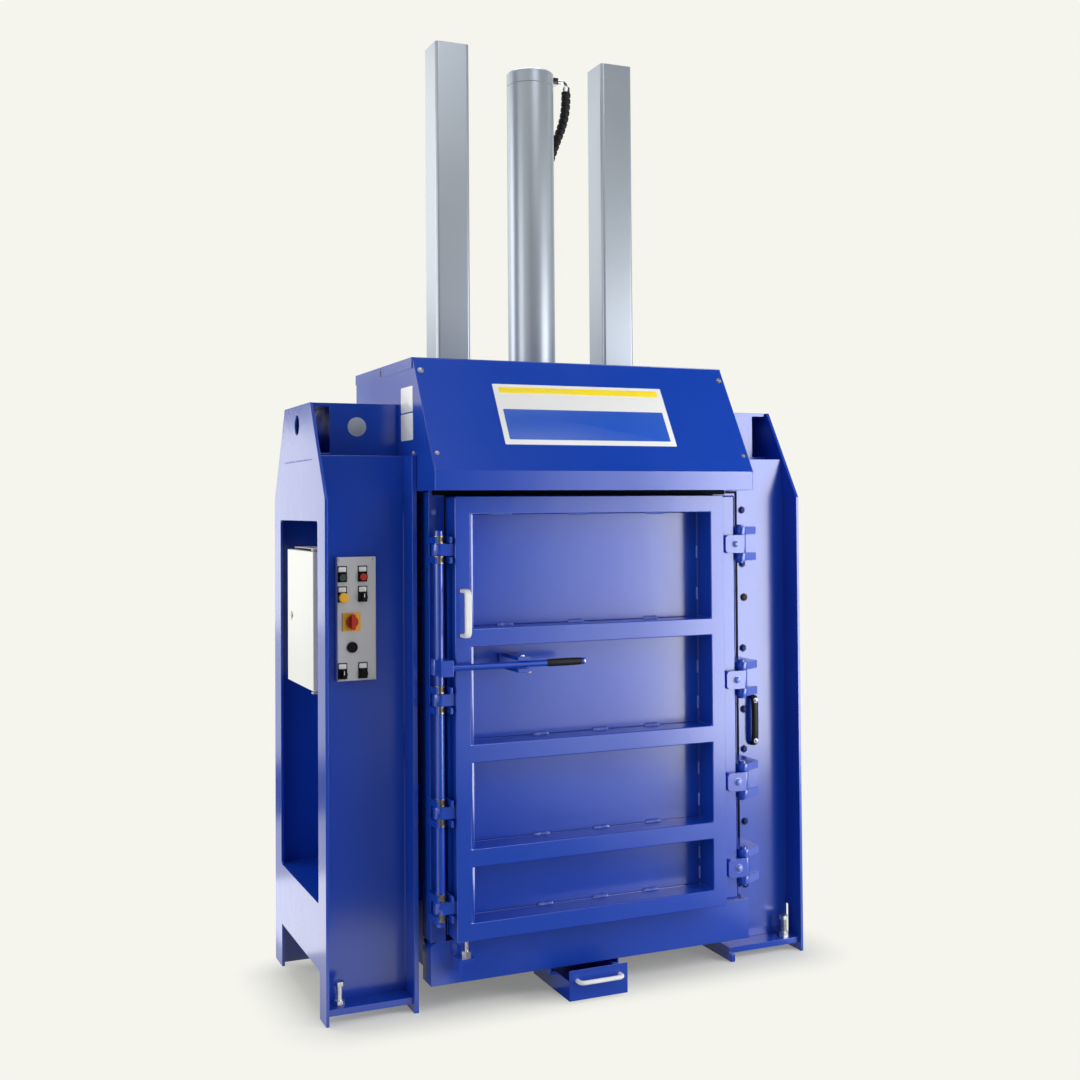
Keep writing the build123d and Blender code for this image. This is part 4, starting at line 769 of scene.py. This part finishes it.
points, faces = floor_disc(FLOOR_RADIUS)
floor_mesh = bpy.data.meshes.new("floor")
floor_mesh.from_pydata(points.tolist(), [], faces)
floor_mesh.materials.append(pale_floor())
floor = bpy.data.objects.new("floor", floor_mesh)
bpy.context.scene.collection.objects.link(floor)


def surroundings(strength):
    """World: the pale colour where it is seen or mirrored, and a lower even light on the machine."""
    world = bpy.data.worlds.new("studio")
    world.use_nodes = True
    tree = world.node_tree
    level = between(tree, seen_rays(tree), 0.0, 1.0, strength, 1.0)
    tree.links.new(level, tree.nodes["Background"].inputs["Strength"])
    tree.nodes["Background"].inputs["Color"].default_value = PALE
    return world


def stand(holder, place, axes):
    """Put an object into the scene at a place, with its own x, y and z along three directions."""
    pose = np.eye(4)
    pose[:3, :3] = np.column_stack(axes)
    pose[:3, 3] = place
    holder.matrix_world = pose.T.tolist()
    bpy.context.scene.collection.objects.link(holder)


def placed(holder, place, target):
    """Stand a lamp or card at a place with its face to a target, out of the camera's sight."""
    holder.visible_camera = False
    stand(holder, place, axes_about(np.asarray(place, float) - np.asarray(target, float)))


def softbox(name, place, target, width, height, radiance):
    """Rectangular area lamp aimed at a point; its power is its radiance times pi times its area."""
    lamp = bpy.data.lights.new(name, "AREA")
    lamp.shape = "RECTANGLE"
    lamp.size, lamp.size_y = width, height
    lamp.energy = radiance * np.pi * width * height
    placed(bpy.data.objects.new(name, lamp), place, target)


def dark_card(name, place, target, width, height):
    """Black studio card that only glossy faces see, so that they mirror dark there in place of the pale
    room."""
    across, up = width / 2, height / 2
    corners = [(-across, -up, 0), (across, -up, 0), (across, up, 0), (-across, up, 0)]
    mesh = bpy.data.meshes.new(name)
    mesh.from_pydata(corners, [], [(0, 1, 2, 3)])
    mesh.materials.append(moulded(name, (0.012, 0.012, 0.013), (0.020, 0.020, 0.021), 0.9))
    card = bpy.data.objects.new(name, mesh)
    card.visible_diffuse = False
    card.visible_shadow = False
    placed(card, place, target)


ROOM_LIGHT = 0.24
bpy.context.scene.world = surroundings(ROOM_LIGHT)

# Name, place, target, width and height, and for a lamp its radiance
LAMPS = [
    ("right_box", (2.94, -2.62, 1.47), (0.45, -0.30, 1.47), 2.5, 2.9, 5.8),
    ("strip_box", (1.95, -4.2, 1.2), (0.1, -0.3, 1.2), 0.8, 2.3, 1.0),
    ("front_box", (0.3, -4.4, 5.6), (0.1, -0.3, 1.4), 2.2, 2.2, 4.5),
    ("left_box", (-5.0, -1.0, 2.4), (-0.8, 0.0, 1.3), 2.8, 2.8, 3.1),
    ("rear_left_box", (-4.0, 3.0, 2.8), (0.0, 0.1, 2.4), 2.4, 3.0, 4.0),
    ("rear_box", (-1.9, 4.7, 3.9), (0.0, 0.1, 2.8), 2.2, 2.0, 1.2),
    ("rear_strip", (-2.0, 4.97, 1.50), (-0.86, 0.1, 1.40), 0.9, 1.5, 1.18),
    ("low_strip", (-1.25, 0.87, 0.02), (-1.25, 0.87, 2.0), 1.0, 0.7, 1.1),
    ("top_box", (0.2, 1.2, 6.2), (0.1, 0.2, 1.5), 3.4, 3.0, 3.0),
]
CARDS = [
    ("front_card", (-0.9, -7.4, 2.0), (-0.2, 0.0, 1.2), 7.4, 6.0),
    ("floor_card", (0.24, -0.70, 0.004), (0.24, -0.70, 2.0), 0.9, 1.24),
    ("aisle_card", (-0.9, -4.1, 0.004), (-0.9, -4.1, 2.0), 6.0, 3.8),
    ("high_card", (2.2, -1.9, 5.1), (0.1, -0.33, 1.87), 4.0, 4.0),
    ("cheek_card", (-1.84, 4.31, 2.30), (-0.56, 0.0, 1.97), 0.35, 0.4),
    ("low_card", (-1.75, 3.30, 0.004), (-1.75, 3.30, 2.0), 1.5, 1.2),
    ("gap_card", (-0.53, 0.60, 0.90), (-0.53, 0.0, 0.90), 0.26, 1.70),
]
for lamp_row in LAMPS:
    softbox(*lamp_row)
for card_row in CARDS:
    dark_card(*card_row)

# Camera: it looks along a bearing and a rise, then leans about its own view
YAW, PITCH, ROLL = np.radians([23.372, 1.268, -0.400])
CAMERA_PLACE = (-1.8926, -4.3165, 1.5720)
ahead = np.array([np.sin(YAW) * np.cos(PITCH), np.cos(YAW) * np.cos(PITCH), np.sin(PITCH)])
level_right = np.array([np.cos(YAW), -np.sin(YAW), 0.0])
level_up = np.cross(level_right, ahead)
right = np.cos(ROLL) * level_right + np.sin(ROLL) * level_up
upward = np.cos(ROLL) * level_up - np.sin(ROLL) * level_right
lens = bpy.data.cameras.new("camera")
lens.sensor_width = 36.0
lens.lens = 45.01
lens.shift_y = -0.0575
lens.clip_end = 200.0
camera = bpy.data.objects.new("camera", lens)
stand(camera, CAMERA_PLACE, [right, upward, -ahead])
bpy.context.scene.camera = camera
bpy.context.scene.view_settings.view_transform = "Standard"
